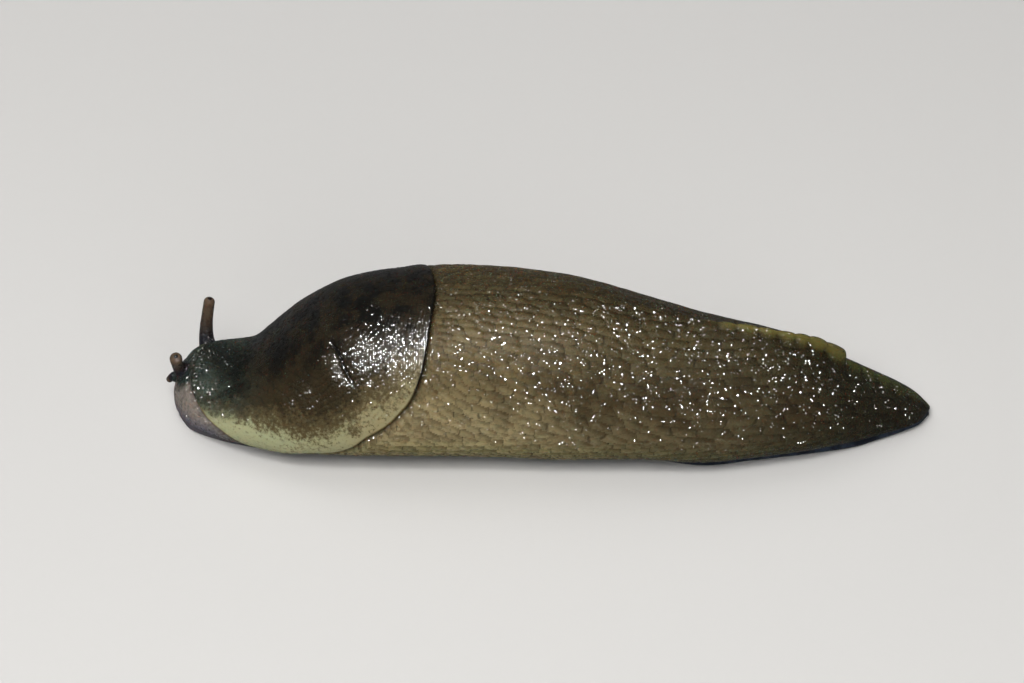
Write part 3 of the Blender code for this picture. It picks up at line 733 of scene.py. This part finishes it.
# %% Ridges, crease and breathing opening
RIDGE_CENTRE, RIDGES = 24.5, 21.0
RIDGE_HIGH, GRAIN_HIGH = 0.06, 0.045
GRAIN, FINE_GRAIN = 0.42, 0.24
CREASE = ((21.7, -0.23), (24.3, -0.42))
CREASE_DEEP, CREASE_WIDE, FOLD_HIGH, FOLD_AT = 0.4, 0.24, 0.3, 1.7
BREATHING_AT = (25.5, 0.56)
BREATHING_RADIUS, BREATHING_DEEP, BREATHING_LIP, CLEFT_DEEP = 0.8, 0.9, 0.42, 0.35


def mantle_folds(s, w):
    """The crease and its fold on the left, and the breathing opening on the right, in mm, and a
    mask of painted shade for the crease's slit, the opening's pit and its cleft."""
    (s0, w0), (s1, w1) = CREASE
    along = np.array([s1 - s0, (w1 - w0) * FLANK_LONG])
    length = np.hypot(*along)
    along = along / length
    x, y = s - s0, (w - w0) * FLANK_LONG
    down = x * along[0] + y * along[1]
    off = x * along[1] - y * along[0] + 0.12 * np.sin(1.1 * down)
    ends = between(down, -1.2, 0.8) * (1 - between(down, length - 1.5, length + 1.5))
    slit = bump_at(off, 0, CREASE_WIDE) * ends
    fold = FOLD_HIGH * bump_at(off, FOLD_AT, 1.4)
    fold = fold * between(down, -2.5, 1) * (1 - between(down, length - 1.5, length + 2))
    crease = fold - CREASE_DEEP * slit - 0.1 * bump_at(off, 0, 1.0) * ends
    side = (w - BREATHING_AT[1]) * FLANK_LONG
    away = np.hypot(s - BREATHING_AT[0], side)
    ring = BREATHING_LIP * bump_at(away, 1.9 * BREATHING_RADIUS, 0.6)
    pit = BREATHING_DEEP * np.exp(-(away / BREATHING_RADIUS) ** 4)
    cleft = bump_at(s, BREATHING_AT[0] + 0.15 * np.sin(2 * side), 0.22) * between(side, 0.5, 1.5)
    cleft = cleft * (1 - between(mantle_ratio(s, w), 0.9, 0.98))
    # painted shade: how far the slit, the pit and the cleft are darkened in colour
    dark = np.maximum(slit, np.maximum(pit / BREATHING_DEEP, 0.7 * cleft))
    return crease + ring - pit - CLEFT_DEEP * cleft, dark


def ridges(s, w):
    """The fingerprint: |sin| of the share of the way to the rim, wavering, broken into grains."""
    share = mantle_ratio(s, w, RIDGE_CENTRE)
    waver = 0.5 * drift(s / 3, w * 10, 61) + 0.22 * drift(s / 1.1, w * 26, 62)
    wave = np.abs(np.sin(math.pi * (RIDGES * share + waver))) ** 0.7
    strong = between(share, 0.04, 0.3) * (0.55 + 0.45 * drift(s / 2.2, w * 14, 63))
    grain = drift(s / GRAIN, w * FLANK_LONG / GRAIN, 64)
    grain = grain + 0.6 * drift(s / FINE_GRAIN, w * FLANK_LONG / FINE_GRAIN, 65)
    return RIDGE_HIGH * wave * strong + GRAIN_HIGH * 0.5 * grain, wave


# %% The mantle's skin in polar rings
MANTLE_SPOKES, MANTLE_RINGS, LIP_RINGS, UNDER_RINGS = 520, 165, 9, 14
MANTLE_CROWDING = 0.4  # spokes stand closer towards the breathing opening
LIP_FROM, LIP_BULGE = 0.985, 0.011  # shares of the rim's distance
BED_GAP = 0.03

even = np.linspace(0, 2 * math.pi, MANTLE_SPOKES, endpoint=False)
toward = math.atan2(-BREATHING_AT[1] * RIM_FLANK, BREATHING_AT[0] - MANTLE_CENTRE)
angle = (even - MANTLE_CROWDING * np.sin(even - toward))[::-1]
radius = rim_radius(angle)

lip_turn = np.linspace(math.pi / 2, -math.pi / 2, LIP_RINGS + 2)[1:-1]
ring_ratio = np.concatenate([
    np.linspace(0.004, LIP_FROM, MANTLE_RINGS),
    LIP_FROM + LIP_BULGE * np.cos(lip_turn),
    np.linspace(0.98, 0.02, UNDER_RINGS),
])[:, None]
mantle_s = MANTLE_CENTRE + ring_ratio * radius * np.cos(angle)
mantle_w = -ring_ratio * radius * np.sin(angle) / RIM_FLANK
ridge_height, ridge_wave = ridges(mantle_s, mantle_w)
calm = 1 - between(ring_ratio, 0.955, LIP_FROM)
fold_height, painted_hollow_shade = mantle_folds(mantle_s, mantle_w)
lifted = LIP_PROUD * between(ring_ratio, 0.75, 0.95) + fold_height + ridge_height * calm
lip_height = LIP_PROUD - LIP_THICK / 2 + np.sin(lip_turn)[:, None] * LIP_THICK / 2
sunk = -body_inset(mantle_s, mantle_w) - BED_GAP
mantle_height = np.concatenate([
    lifted[:MANTLE_RINGS], lip_height + 0 * radius, sunk[MANTLE_RINGS + LIP_RINGS:],
])
mantle_grid = outline(mantle_s, mantle_w)
mantle_grid = mantle_grid + outward(outline, mantle_s, mantle_w) * mantle_height[..., None]
mantle_marks = {
    "along": mantle_s / 100,
    "flank": mantle_w,
    "rim": ring_ratio + 0 * mantle_s,
    "wave": ridge_wave,
    # the crease mark carries painted shade for the slit, the breathing pit and its cleft
    "crease": painted_hollow_shade,
}
mantle = skin_object("skin_mantle", "mantle", mantle_grid, mantle_marks)

# %% [markdown]
# ## Tentacles and eyes
#
# A slug sees with the two long tentacles and feels and tastes with the two short ones below them.
# Each is a soft tube that flares where it leaves the head and closes in a rounded knob. Fine rings
# wrinkle it, because it turns inside out when it is drawn in. A bevelled curve could make the tube,
# but not its rings or the hollow in its knob. So the profile is a radius for each place on a bent
# centre line. The eye is a bead of its own, which sits in the hollow.

# %% The centre line of a tentacle
ROOT_LIFT = 0.3  # the solids' clearance, kept so that the tentacles stand where they do
TENTACLE_BEND = 0.25
EYE_RADIUS, EYE_GAP, EYE_SEAT = 0.3, 0.22, 0.75


class Stalk:
    """The centre line of a tentacle: it leaves the head square on and bends to its tip."""

    def __init__(self, s, w, reach):
        forward, right, up = head_frame()
        along = (body(s + SMALL_S, w) - body(s - SMALL_S, w)) / (2 * SMALL_S)
        self.first = unit(along)
        self.start = outward(body, s, w)
        self.root = body(s, w) + self.start * ROOT_LIFT
        self.tip = self.root + reach[0] * forward + reach[1] * right + reach[2] * up
        self.long = np.linalg.norm(self.tip - self.root)
        self.bend = self.root + self.start * self.long * TENTACLE_BEND

    def at(self, t):
        """Points and directions: a quadratic Bezier for t from 0 to 1, a straight line before 0."""
        t = np.asarray(t, float)[..., None]
        inside = np.clip(t, 0, 1)
        point = (1 - inside) ** 2 * self.root + 2 * inside * (1 - inside) * self.bend + inside**2 * self.tip
        point = point + np.clip(t, None, 0) * self.long * self.start
        direction = (1 - inside) * (self.bend - self.root) + inside * (self.tip - self.bend)
        return point, unit(direction)


# %% Tentacle skins
TENTACLE_SIDES, EYE_SIDES, EYE_RINGS = 48, 32, 20
ROOT_DEEP = 0.9  # how far a tentacle's skin goes down into the head, in mm
ROOT_FLARE, FLARE_LONG = 0.2, 0.45
RING_PITCH, RING_DEEP = 0.34, 0.02
RINGS_PER_MM = 22
KNOB = 0.95  # height of the rounded end as a share of its radius
EYE_HOLLOW = 0.05


def circle(first, second, places):
    """A ring of directions round each place, in the plane of its two unit vectors."""
    phase = np.linspace(0, 2 * math.pi, places, endpoint=False)[:, None]
    return np.cos(-phase) * first[..., None, :] + np.sin(-phase) * second[..., None, :]


def tentacle(name, place_on_head, reach, radii, with_eye):
    """Rings round the centre line. The radius goes through the given ones, flares at the root,
    wavers with fine ring wrinkles and ends as a flattened half circle, with a hollow for an eye."""
    stalk = Stalk(*place_on_head, reach)
    end = radii[-1]
    shoulder = 1 - KNOB * end / stalk.long
    t = np.linspace(-ROOT_DEEP / stalk.long, shoulder, int(RINGS_PER_MM * (stalk.long + 2)))
    steps = np.linspace(0, shoulder, len(radii))
    width = curve_through(t, steps, radii)
    mm_up = t * stalk.long
    width = width * (1 + ROOT_FLARE * np.exp(-np.clip(mm_up, 0, None) / FLARE_LONG))
    wrinkle = np.abs(np.sin(math.pi * (mm_up / RING_PITCH + 0.35 * drift(mm_up, 0 * mm_up, 71)))) ** 0.6
    calm = between(mm_up, 0.2, 1.2) * (1 - between(t, shoulder - 0.25, shoulder - 0.02))
    width = width - RING_DEEP * (1 - wrinkle) * calm
    turn = np.linspace(0, math.pi / 2, 20)[1:-1]
    cap_shift = KNOB * end * (np.sin(turn) - 1)
    cap_width = end * np.cos(turn)
    by_eye = with_eye * bump_at(cap_width, 0, 1.1 * EYE_RADIUS)
    cap_shift = cap_shift - EYE_HOLLOW * by_eye
    centres, ways = stalk.at(np.concatenate([t, np.ones(len(turn))]))
    centres = centres + ways * np.concatenate([0 * t, cap_shift])[:, None]
    width = np.concatenate([width, cap_width])
    first = unit(stalk.first - ways * (ways @ stalk.first)[:, None])
    ring = circle(first, np.cross(ways, first), TENTACLE_SIDES)
    grid = centres[:, None] + width[:, None, None] * ring
    reach_share = np.clip(np.concatenate([t, np.ones(len(turn))]), 0, 1)
    values = {
        "reach": np.repeat(reach_share[:, None], TENTACLE_SIDES, 1),
        "by_eye": np.repeat(np.concatenate([0 * t, by_eye])[:, None], TENTACLE_SIDES, 1),
    }
    poles = (centres[0], centres[-1] + 0.01 * ways[-1])
    return skin_object("skin_" + name, name, grid, values, poles=poles), stalk


def eye(name, stalk):
    """A bead in the hollow at the tip: rings of a sphere from pole to pole."""
    tip, way = stalk.at(1.0)
    centre = tip - way * (EYE_SEAT - EYE_GAP - EYE_RADIUS)
    turn = np.linspace(0.08, math.pi - 0.08, EYE_RINGS)[:, None, None]
    first = unit(np.cross(way, stalk.first))
    ring = circle(first, np.cross(way, first), EYE_SIDES)
    grid = centre + EYE_RADIUS * (np.cos(turn) * -way + np.sin(turn) * ring)
    poles = (centre - EYE_RADIUS * way, centre + EYE_RADIUS * way)
    return skin_object("bead_" + name, name, grid, poles=poles)


tentacles, eyes = [], []
for side, reach, radii in (
    ("left", (-0.3, -1.8, 3.6), (1.1, 1.0, 0.86, 0.78, 0.76, 0.82)),
    ("right", (0.05, 1.2, 7.2), (1.2, 1.05, 0.95, 0.86, 0.78, 0.74)),
):
    item, stalk = tentacle("ocular_tentacle_" + side, OCULAR_ROOTS[side], reach, radii, True)
    tentacles.append(item)
    eyes.append(eye("eye_" + side, stalk))
for side, reach in (("left", (1.0, 0.0, -1.1)), ("right", (1.0, 0.3, -1.1))):
    item, _ = tentacle("oral_tentacle_" + side, ORAL_ROOTS[side], reach, (0.6, 0.52, 0.46), False)
    tentacles.append(item)

# %% [markdown]
# ## Wet skin
#
# A slug's skin is flesh under a film of slime. The flesh is dull and scatters light a little below
# its surface. The film is smooth and clear, but it stands in tiny drops on the grains under it, and
# each drop leans its own way and mirrors the lamp from its own spot: those are the many small
# glints. In the Principled shader the flesh is the base and the film is the coat, and each gets a
# normal of its own. Specks of paint would be easier, but they would stay where they are when the
# light moves.

# %% A material and short calls that add nodes to it
FLESH_ROUGHNESS, FLESH_SPECULAR = 0.45, 0.03
FLESH_SCATTER, FLESH_DEPTH = 0.25, 0.5  # share of light that enters the flesh, and how deep in mm
FILM_ROUGHNESS, FILM_IOR = 0.12, 1.36  # slime bends light a little more than water, 1.33
FILM_DROP, FILM_DEEP = 0.33, 0.075  # width and height of a drop, in mm


def tone(red, green, blue):
    """A colour given as it looks on a screen, 0 to 255, as the linear colour that shaders use."""
    return tuple((channel / 255) ** 2.2 for channel in (red, green, blue)) + (1.0,)


class Finish:
    """A wet material, its nodes added by the calls below."""

    def __init__(self, name, roughness=FLESH_ROUGHNESS, film_roughness=FILM_ROUGHNESS):
        self.material = bpy.data.materials.new(name)
        self.material.use_nodes = True
        self.tree = self.material.node_tree
        self.shader = self.tree.nodes["Principled BSDF"]
        for socket, value in (
            ("Roughness", roughness), ("Specular IOR Level", FLESH_SPECULAR), ("Coat Weight", 1.0),
            ("Coat Roughness", film_roughness), ("Coat IOR", FILM_IOR),
            ("Subsurface Weight", FLESH_SCATTER), ("Subsurface Scale", FLESH_DEPTH * MM),
        ):
            self.shader.inputs[socket].default_value = value
        self.place = self.node("ShaderNodeTexCoord").outputs["Object"]

    def feed(self, socket, value):
        """Links a socket to another, or sets it to a number or colour."""
        if isinstance(value, bpy.types.NodeSocket):
            self.tree.links.new(value, socket)
        else:
            socket.default_value = value

    def node(self, kind, inputs=None, **settings):
        made = self.tree.nodes.new(kind)
        for key, value in settings.items():
            setattr(made, key, value)
        for key, value in (inputs or {}).items():
            self.feed(made.inputs[key], value)
        return made

    def marks(self, *names):
        """Values that the mesh carries at its points."""
        return [self.node("ShaderNodeAttribute", attribute_name=name).outputs["Fac"] for name in names]

    def sum(self, kind, first, second=0.0):
        return self.node("ShaderNodeMath", {0: first, 1: second}, operation=kind).outputs[0]

    def plus(self, first, *others):
        for other in others:
            first = self.sum("ADD", first, other)
        return first

    def minus(self, first, second):
        return self.sum("SUBTRACT", first, second)

    def times(self, first, second):
        return self.sum("MULTIPLY", first, second)

    def vector(self, kind, *inputs, **named):
        """One step of vector arithmetic."""
        inputs = {**dict(enumerate(inputs)), **named}
        return self.node("ShaderNodeVectorMath", inputs, operation=kind).outputs["Vector"]

    def step(self, value, low, high):
        """A smooth step from 0 at low to 1 at high."""
        inputs = {"Value": value, "From Min": low, "From Max": high}
        return self.node("ShaderNodeMapRange", inputs, interpolation_type="SMOOTHSTEP").outputs["Result"]

    def noise(self, size_mm, detail=2.0, roughness=0.5):
        """Noise with features of this size."""
        inputs = {"Vector": self.place, "Scale": 1 / (size_mm * MM), "Detail": detail, "Roughness": roughness}
        return self.node("ShaderNodeTexNoise", inputs).outputs["Fac"]

    def bump(self, height, deep_mm):
        inputs = {"Height": height, "Distance": deep_mm * MM, "Strength": 1.0}
        return self.node("ShaderNodeBump", inputs).outputs["Normal"]

    def film(self, lean, deep_mm=FILM_DEEP):
        """The normal of a film of drops. Each is a round lens, whose height is 1 less the square of
        the distance from its middle, and each leans its own way by up to lean."""
        drops = self.node("ShaderNodeTexVoronoi", {"Vector": self.place, "Scale": 1 / (FILM_DROP * MM)})
        lens = self.minus(1.0, self.sum("POWER", drops.outputs["Distance"], 2.0))
        drawn = self.vector("SUBTRACT", drops.outputs["Color"], (0.5, 0.5, 0.5))
        own_lean = self.vector("SCALE", drawn, Scale=self.times(lean, 2.0))
        return self.vector("NORMALIZE", self.vector("ADD", self.bump(lens, deep_mm), own_lean))

    def mix(self, share, first, second, blend="MIX"):
        inputs = {"Factor": share, "A": first, "B": second}
        return self.node("ShaderNodeMix", inputs, data_type="RGBA", blend_type=blend).outputs["Result"]

    def layers(self, colour, *coats):
        """A colour with others over it in turn. Each coat is the share of the skin that it covers,
        how much it hides there, and its own colour."""
        for share, hides, own in coats:
            colour = self.mix(self.times(share, hides), colour, own)
        return colour

    def wear(self, items, colour, normal=None, film=None):
        """Sets the colour and the normals of flesh and film, and puts the material on the items."""
        for socket, value in (("Base Color", colour), ("Normal", normal), ("Coat Normal", film)):
            if value is not None:
                self.feed(self.shader.inputs[socket], value)
        for item in items:
            item.data.materials.clear()
            item.data.materials.append(self.material)
        print(f"{self.material.name}: {len(self.tree.nodes)} nodes on {len(items)} pieces")


# %% [markdown]
# The body's colours follow the animal: brown-olive tubercles on the trunk that darken to blackish
# olive on the tail, darker furrows, a dark belt half-way up the flank, cream scales low down near
# the foot, and a pale grey-pink head with a dark crown. They could be painted on a picture, but it
# would have to fit every tubercle. So each colour is laid over the last where a mark on the mesh says
# so: aft runs from 0 at the snout to 1 at the tail, up from 0 at the foot to 1 on the back.

# %% The body's skin
def body_finish(items):
    finish = Finish("wet_tubercled_skin")
    step, mix, times, layers = finish.step, finish.mix, finish.times, finish.layers
    lead, lot, lie, aft, up, rim, crown, keeled = finish.marks(
        "lead", "lot", "lie", "aft", "up", "rim", "crown", "keeled")
    blotch = finish.noise(5.0, 3.0, 0.6)
    speck = finish.noise(0.6, 3.0, 0.65)

    back = layers(
        tone(98, 86, 59),
        (step(aft, 0.36, 0.7), 1.0, tone(70, 62, 41)),
        (step(aft, 0.66, 0.88), 1.0, tone(41, 38, 26)),
        # painted shade: the top of the back is darkened where it turns away from the light
        (step(up, 0.72, 0.97), 0.6, tone(40, 34, 22)),
    )
    pale = layers(
        tone(132, 120, 91),
        (step(aft, 0.4, 0.62), 1.0, tone(90, 81, 60)),
        (step(aft, 0.6, 0.88), 1.0, tone(46, 43, 31)),
    )
    belt = times(times(step(up, 0.32, 0.44), step(up, 0.7, 0.54)),
                 times(step(aft, 0.36, 0.5), step(blotch, 0.36, 0.6)))
    scales = mix(step(aft, 0.4, 0.85), tone(126, 119, 86), tone(56, 54, 38))
    flank = layers(
        back,
        (step(up, 0.66, 0.34), 1.0, pale),
        (belt, 0.65, tone(52, 42, 27)),
        (step(up, 0.32, 0.22), 1.0, scales),
        (step(aft, 0.8, 0.93), 0.65, tone(27, 26, 19)),
    )
    each_its_own = mix(lot, tone(212, 210, 203), tone(255, 255, 250))
    flank = mix(1.0, flank, each_its_own, "MULTIPLY")

    face = mix(step(up, 0.14, 0.4), tone(90, 88, 98), tone(118, 110, 103))
    crown_skin = mix(step(blotch, 0.4, 0.6), tone(34, 42, 38), tone(50, 58, 50))
    face = mix(crown, face, crown_skin)
    colour = mix(step(aft, 0.07, 0.14), face, flank)

    # painted shade: each tubercle is darker towards its upper and rear edge, following the mark lie
    tubercle_shade_painted = mix(1.0, colour, tone(150, 138, 118), "MULTIPLY")
    ridge = mix(step(aft, 0.84, 0.89), tone(88, 82, 44), tone(54, 55, 32))
    colour = layers(
        colour,
        # painted shade on the tubercles
        (step(lie, -0.2, 0.7), 0.62, tubercle_shade_painted),
        (step(speck, 0.47, 0.64), 0.3, tone(44, 37, 23)),
        (step(lead, 0.2, 0.02), 0.6, tone(24, 20, 13)),
        (step(keeled, 0.1, 0.9), 1.0, ridge),
        # painted shade on the body where it passes under the mantle's rim
        (step(rim, 1.05, 0.995), 0.8, tone(30, 26, 20)),
        # painted shade in the furrow where the skin meets the foot, carried on under the belly
        (step(up, 0.03, 0.008), 1.0, tone(16, 18, 22)),
    )
    finish.wear(items, colour, finish.bump(finish.noise(0.2), 0.04), finish.film(0.7))


body_finish(list(skins.values()))

# %% [markdown]
# The mantle is blackish brown on top. Down its sides a pale yellow-green band with dark specks runs
# to the rim, and over the head the skin is thin and looks green-grey. The band's upper edge is a
# height for each place along the mantle, made ragged by two noises.

# %% The mantle's skin
def mantle_finish(items):
    finish = Finish("wet_fingerprint_skin")
    step, mix, times, plus, minus = finish.step, finish.mix, finish.times, finish.plus, finish.minus
    along, flank, rim, wave, crease = finish.marks("along", "flank", "rim", "wave", "crease")
    height = minus(1.0, finish.sum("ABSOLUTE", flank))
    blotch = finish.noise(3.0, 4.0, 0.62)
    speck = finish.noise(0.5, 4.0, 0.7)
    dark = finish.layers(
        tone(16, 15, 12),
        (step(height, 0.88, 0.5), 1.0, tone(42, 36, 24)),
        (step(blotch, 0.4, 0.62), 0.4, tone(54, 46, 32)),
        (step(wave, 0.5, 0.1), 0.4, tone(10, 9, 7)),
    )

    border = plus(times(step(along, 0.2, 0.08), 0.2), times(step(along, 0.2, 0.34), 0.28), 0.34)
    ragged = plus(times(minus(blotch, 0.5), 0.3), times(minus(speck, 0.5), 0.36))
    above = plus(minus(height, border), ragged)
    pale = finish.layers(
        tone(138, 139, 107),
        (step(along, 0.14, 0.3), 1.0, tone(126, 118, 88)),
        (times(step(speck, 0.55, 0.64), step(above, -0.3, -0.02)), 0.6, tone(66, 60, 40)),
    )
    half_way = mix(0.45, dark, tone(98, 87, 60))
    band = mix(step(above, 0.02, -0.12), half_way, pale)

    hood = times(step(along, 0.15, 0.05), step(height, 0.36, 0.52))
    thin = mix(step(blotch, 0.4, 0.6), tone(30, 37, 33), tone(50, 58, 51))
    thin = mix(step(height, 0.7, 0.95), thin, tone(24, 28, 25))
    hem = mix(step(along, 0.08, 0.16), tone(108, 88, 42), tone(78, 66, 38))
    hem = mix(step(height, 0.42, 0.56), hem, tone(18, 16, 13))
    colour = finish.layers(
        dark,
        (step(above, 0.14, 0.0), 1.0, band),
        (hood, 0.85, thin),
        (step(rim, 0.976, 0.99), 1.0, hem),
        # painted shade in the crease's slit, the breathing pit and its cleft
        (crease, 1.0, tone(6, 5, 4)),
    )
    lean = plus(times(step(along, 0.13, 0.08), 0.4), 0.22)
    finish.wear(items, colour, finish.bump(speck, 0.04), finish.film(lean))


mantle_finish([mantle])

# %% [markdown]
# Foot, tentacles and eyes are small and nearly of one tone, so two or three colours parted by noise
# are enough. The eye is glossy through and through, like a wet black bead.

# %% Finishes for foot, tentacles and eyes
def foot_finish(items):
    """Blue-black fringe with a paler fore end, and a grey sole."""
    finish = Finish("wet_sole_skin")
    up, aft = finish.marks("up", "aft")
    blotch = finish.step(finish.noise(1.6, 3.0), 0.4, 0.6)
    fringe = finish.mix(blotch, tone(24, 28, 36), tone(44, 50, 60))
    fringe = finish.mix(finish.step(aft, 0.17, 0.06), fringe, tone(76, 73, 76))
    sole = finish.mix(blotch, tone(150, 142, 128), tone(168, 160, 146))
    colour = finish.mix(finish.step(up, 0.02, -0.1), fringe, sole)
    grain = finish.noise(0.3)
    finish.wear(items, colour, finish.bump(grain, 0.05), finish.bump(grain, 0.04))


def tentacle_finish(items):
    """Nearly black with a violet cast, warmer and browner at the tip, with fine grains."""
    finish = Finish("wet_tentacle_skin", film_roughness=0.08)
    reach, by_eye = finish.marks("reach", "by_eye")
    speck = finish.noise(0.3, 3.0, 0.65)
    colour = finish.layers(
        tone(26, 26, 30),
        (finish.step(reach, 0.3, 1.0), 1.0, tone(80, 67, 54)),
        (finish.step(reach, 0.16, 0.02), 1.0, tone(34, 40, 38)),
        (finish.step(speck, 0.45, 0.62), 0.3, tone(20, 18, 18)),
        (finish.step(by_eye, 0.3, 0.8), 1.0, tone(12, 10, 10)),
    )
    finish.wear(items, colour, finish.bump(speck, 0.03), finish.film(0.5, 0.07))


def eye_finish(items):
    """Glossy black under a clear cornea, a trace of brown where it clouds."""
    finish = Finish("wet_eye", 0.15, 0.02)
    finish.wear(items, finish.mix(finish.noise(0.2), tone(8, 7, 7), tone(18, 13, 10)))


foot_finish([foot])
tentacle_finish(tentacles)
eye_finish(eyes)

# %% [markdown]
# ## Floor, light and camera
#
# A plain pale floor takes the soft shadow, and three large dim lamps show the form. They and the
# floor aren't mirrored in the film, because broad mirror images would lie on the dark skin as a grey
# veil. One small bright lamp does the opposite: it is only mirrored, and makes the glints. The film
# mirrors just a fiftieth of a lamp, so the lamp has to be small and bright to outshine the skin.

# %% Floor
FLOOR_HALF = 1500.0
FLOOR_COLOUR, FLOOR_ROUGHNESS = (0.5, 0.49, 0.475, 1), 0.8


def floor():
    mesh = bpy.data.meshes.new("floor")
    corners = [(x * FLOOR_HALF * MM, y * FLOOR_HALF * MM, 0) for x, y in ((-1, -1), (1, -1), (1, 1), (-1, 1))]
    mesh.from_pydata(corners, [], [(0, 1, 2, 3)])
    item = add_object("floor", mesh)
    material = bpy.data.materials.new("pale_floor")
    material.use_nodes = True
    shader = material.node_tree.nodes["Principled BSDF"]
    shader.inputs["Base Color"].default_value = FLOOR_COLOUR
    shader.inputs["Roughness"].default_value = FLOOR_ROUGHNESS
    mesh.materials.append(material)
    item.visible_glossy = False


floor()

# %% Lights
SKY_COLOUR, SKY_STRENGTH = (0.97, 0.98, 1, 1), 0.1


def lamp(name, place_mm, size_mm, watts, colour=(1, 1, 1)):
    """A square area lamp that looks at the slug's middle."""
    light = bpy.data.lights.new(name, "AREA")
    light.size = size_mm * MM
    light.energy = watts
    light.color = colour
    item = add_object(name, light)
    item.location = Vector(place_mm) * MM
    item.rotation_euler = (-item.location).to_track_quat("-Z", "Y").to_euler()
    return item


for soft in (
    lamp("soft_key", (-200, -500, 750), 450, 9.5),
    lamp("soft_top", (-300, 400, 900), 900, 4.0),
    lamp("soft_front", (300, -900, 350), 500, 3.5),
):
    soft.visible_glossy = False
lamp("sparkle", (-60, -275, 530), 34, 15, (1, 0.98, 0.95)).visible_diffuse = False
world = bpy.data.worlds.new("studio")
world.use_nodes = True
sky = world.node_tree.nodes["Background"]
sky.inputs["Color"].default_value = SKY_COLOUR
sky.inputs["Strength"].default_value = SKY_STRENGTH
bpy.context.scene.world = world
bpy.context.scene.view_settings.view_transform = "Standard"

# %% [markdown]
# The camera looks down at 38 degrees from the slug's left, with a long lens, so near and far parts
# keep their true proportions. It is placed so that one known point of the slug falls on its pixel.

# %% Camera
ELEVATION = math.radians(38)
DISTANCE = 480.0
SENSOR, LENS = 36.0, 128.25
AIM = np.array([0.64, 1.28, 0.0])
toward_camera = np.array([0, -math.cos(ELEVATION), math.sin(ELEVATION)])
picture_right = np.array([1.0, 0, 0])
picture_up = np.cross(toward_camera, picture_right)
AIM_RIGHT, AIM_BELOW = 5.26, 9.14  # where the aim lies from the picture's middle, in mm
looked_at = AIM - AIM_RIGHT * picture_right + AIM_BELOW * picture_up

camera = add_object("camera", bpy.data.cameras.new("camera"))
camera.data.sensor_width = SENSOR
camera.data.lens = LENS
camera.data.clip_start = 0.01
camera.location = Vector(looked_at + DISTANCE * toward_camera) * MM
camera.rotation_euler = Vector(-toward_camera).to_track_quat("-Z", "Y").to_euler()
bpy.context.scene.camera = camera
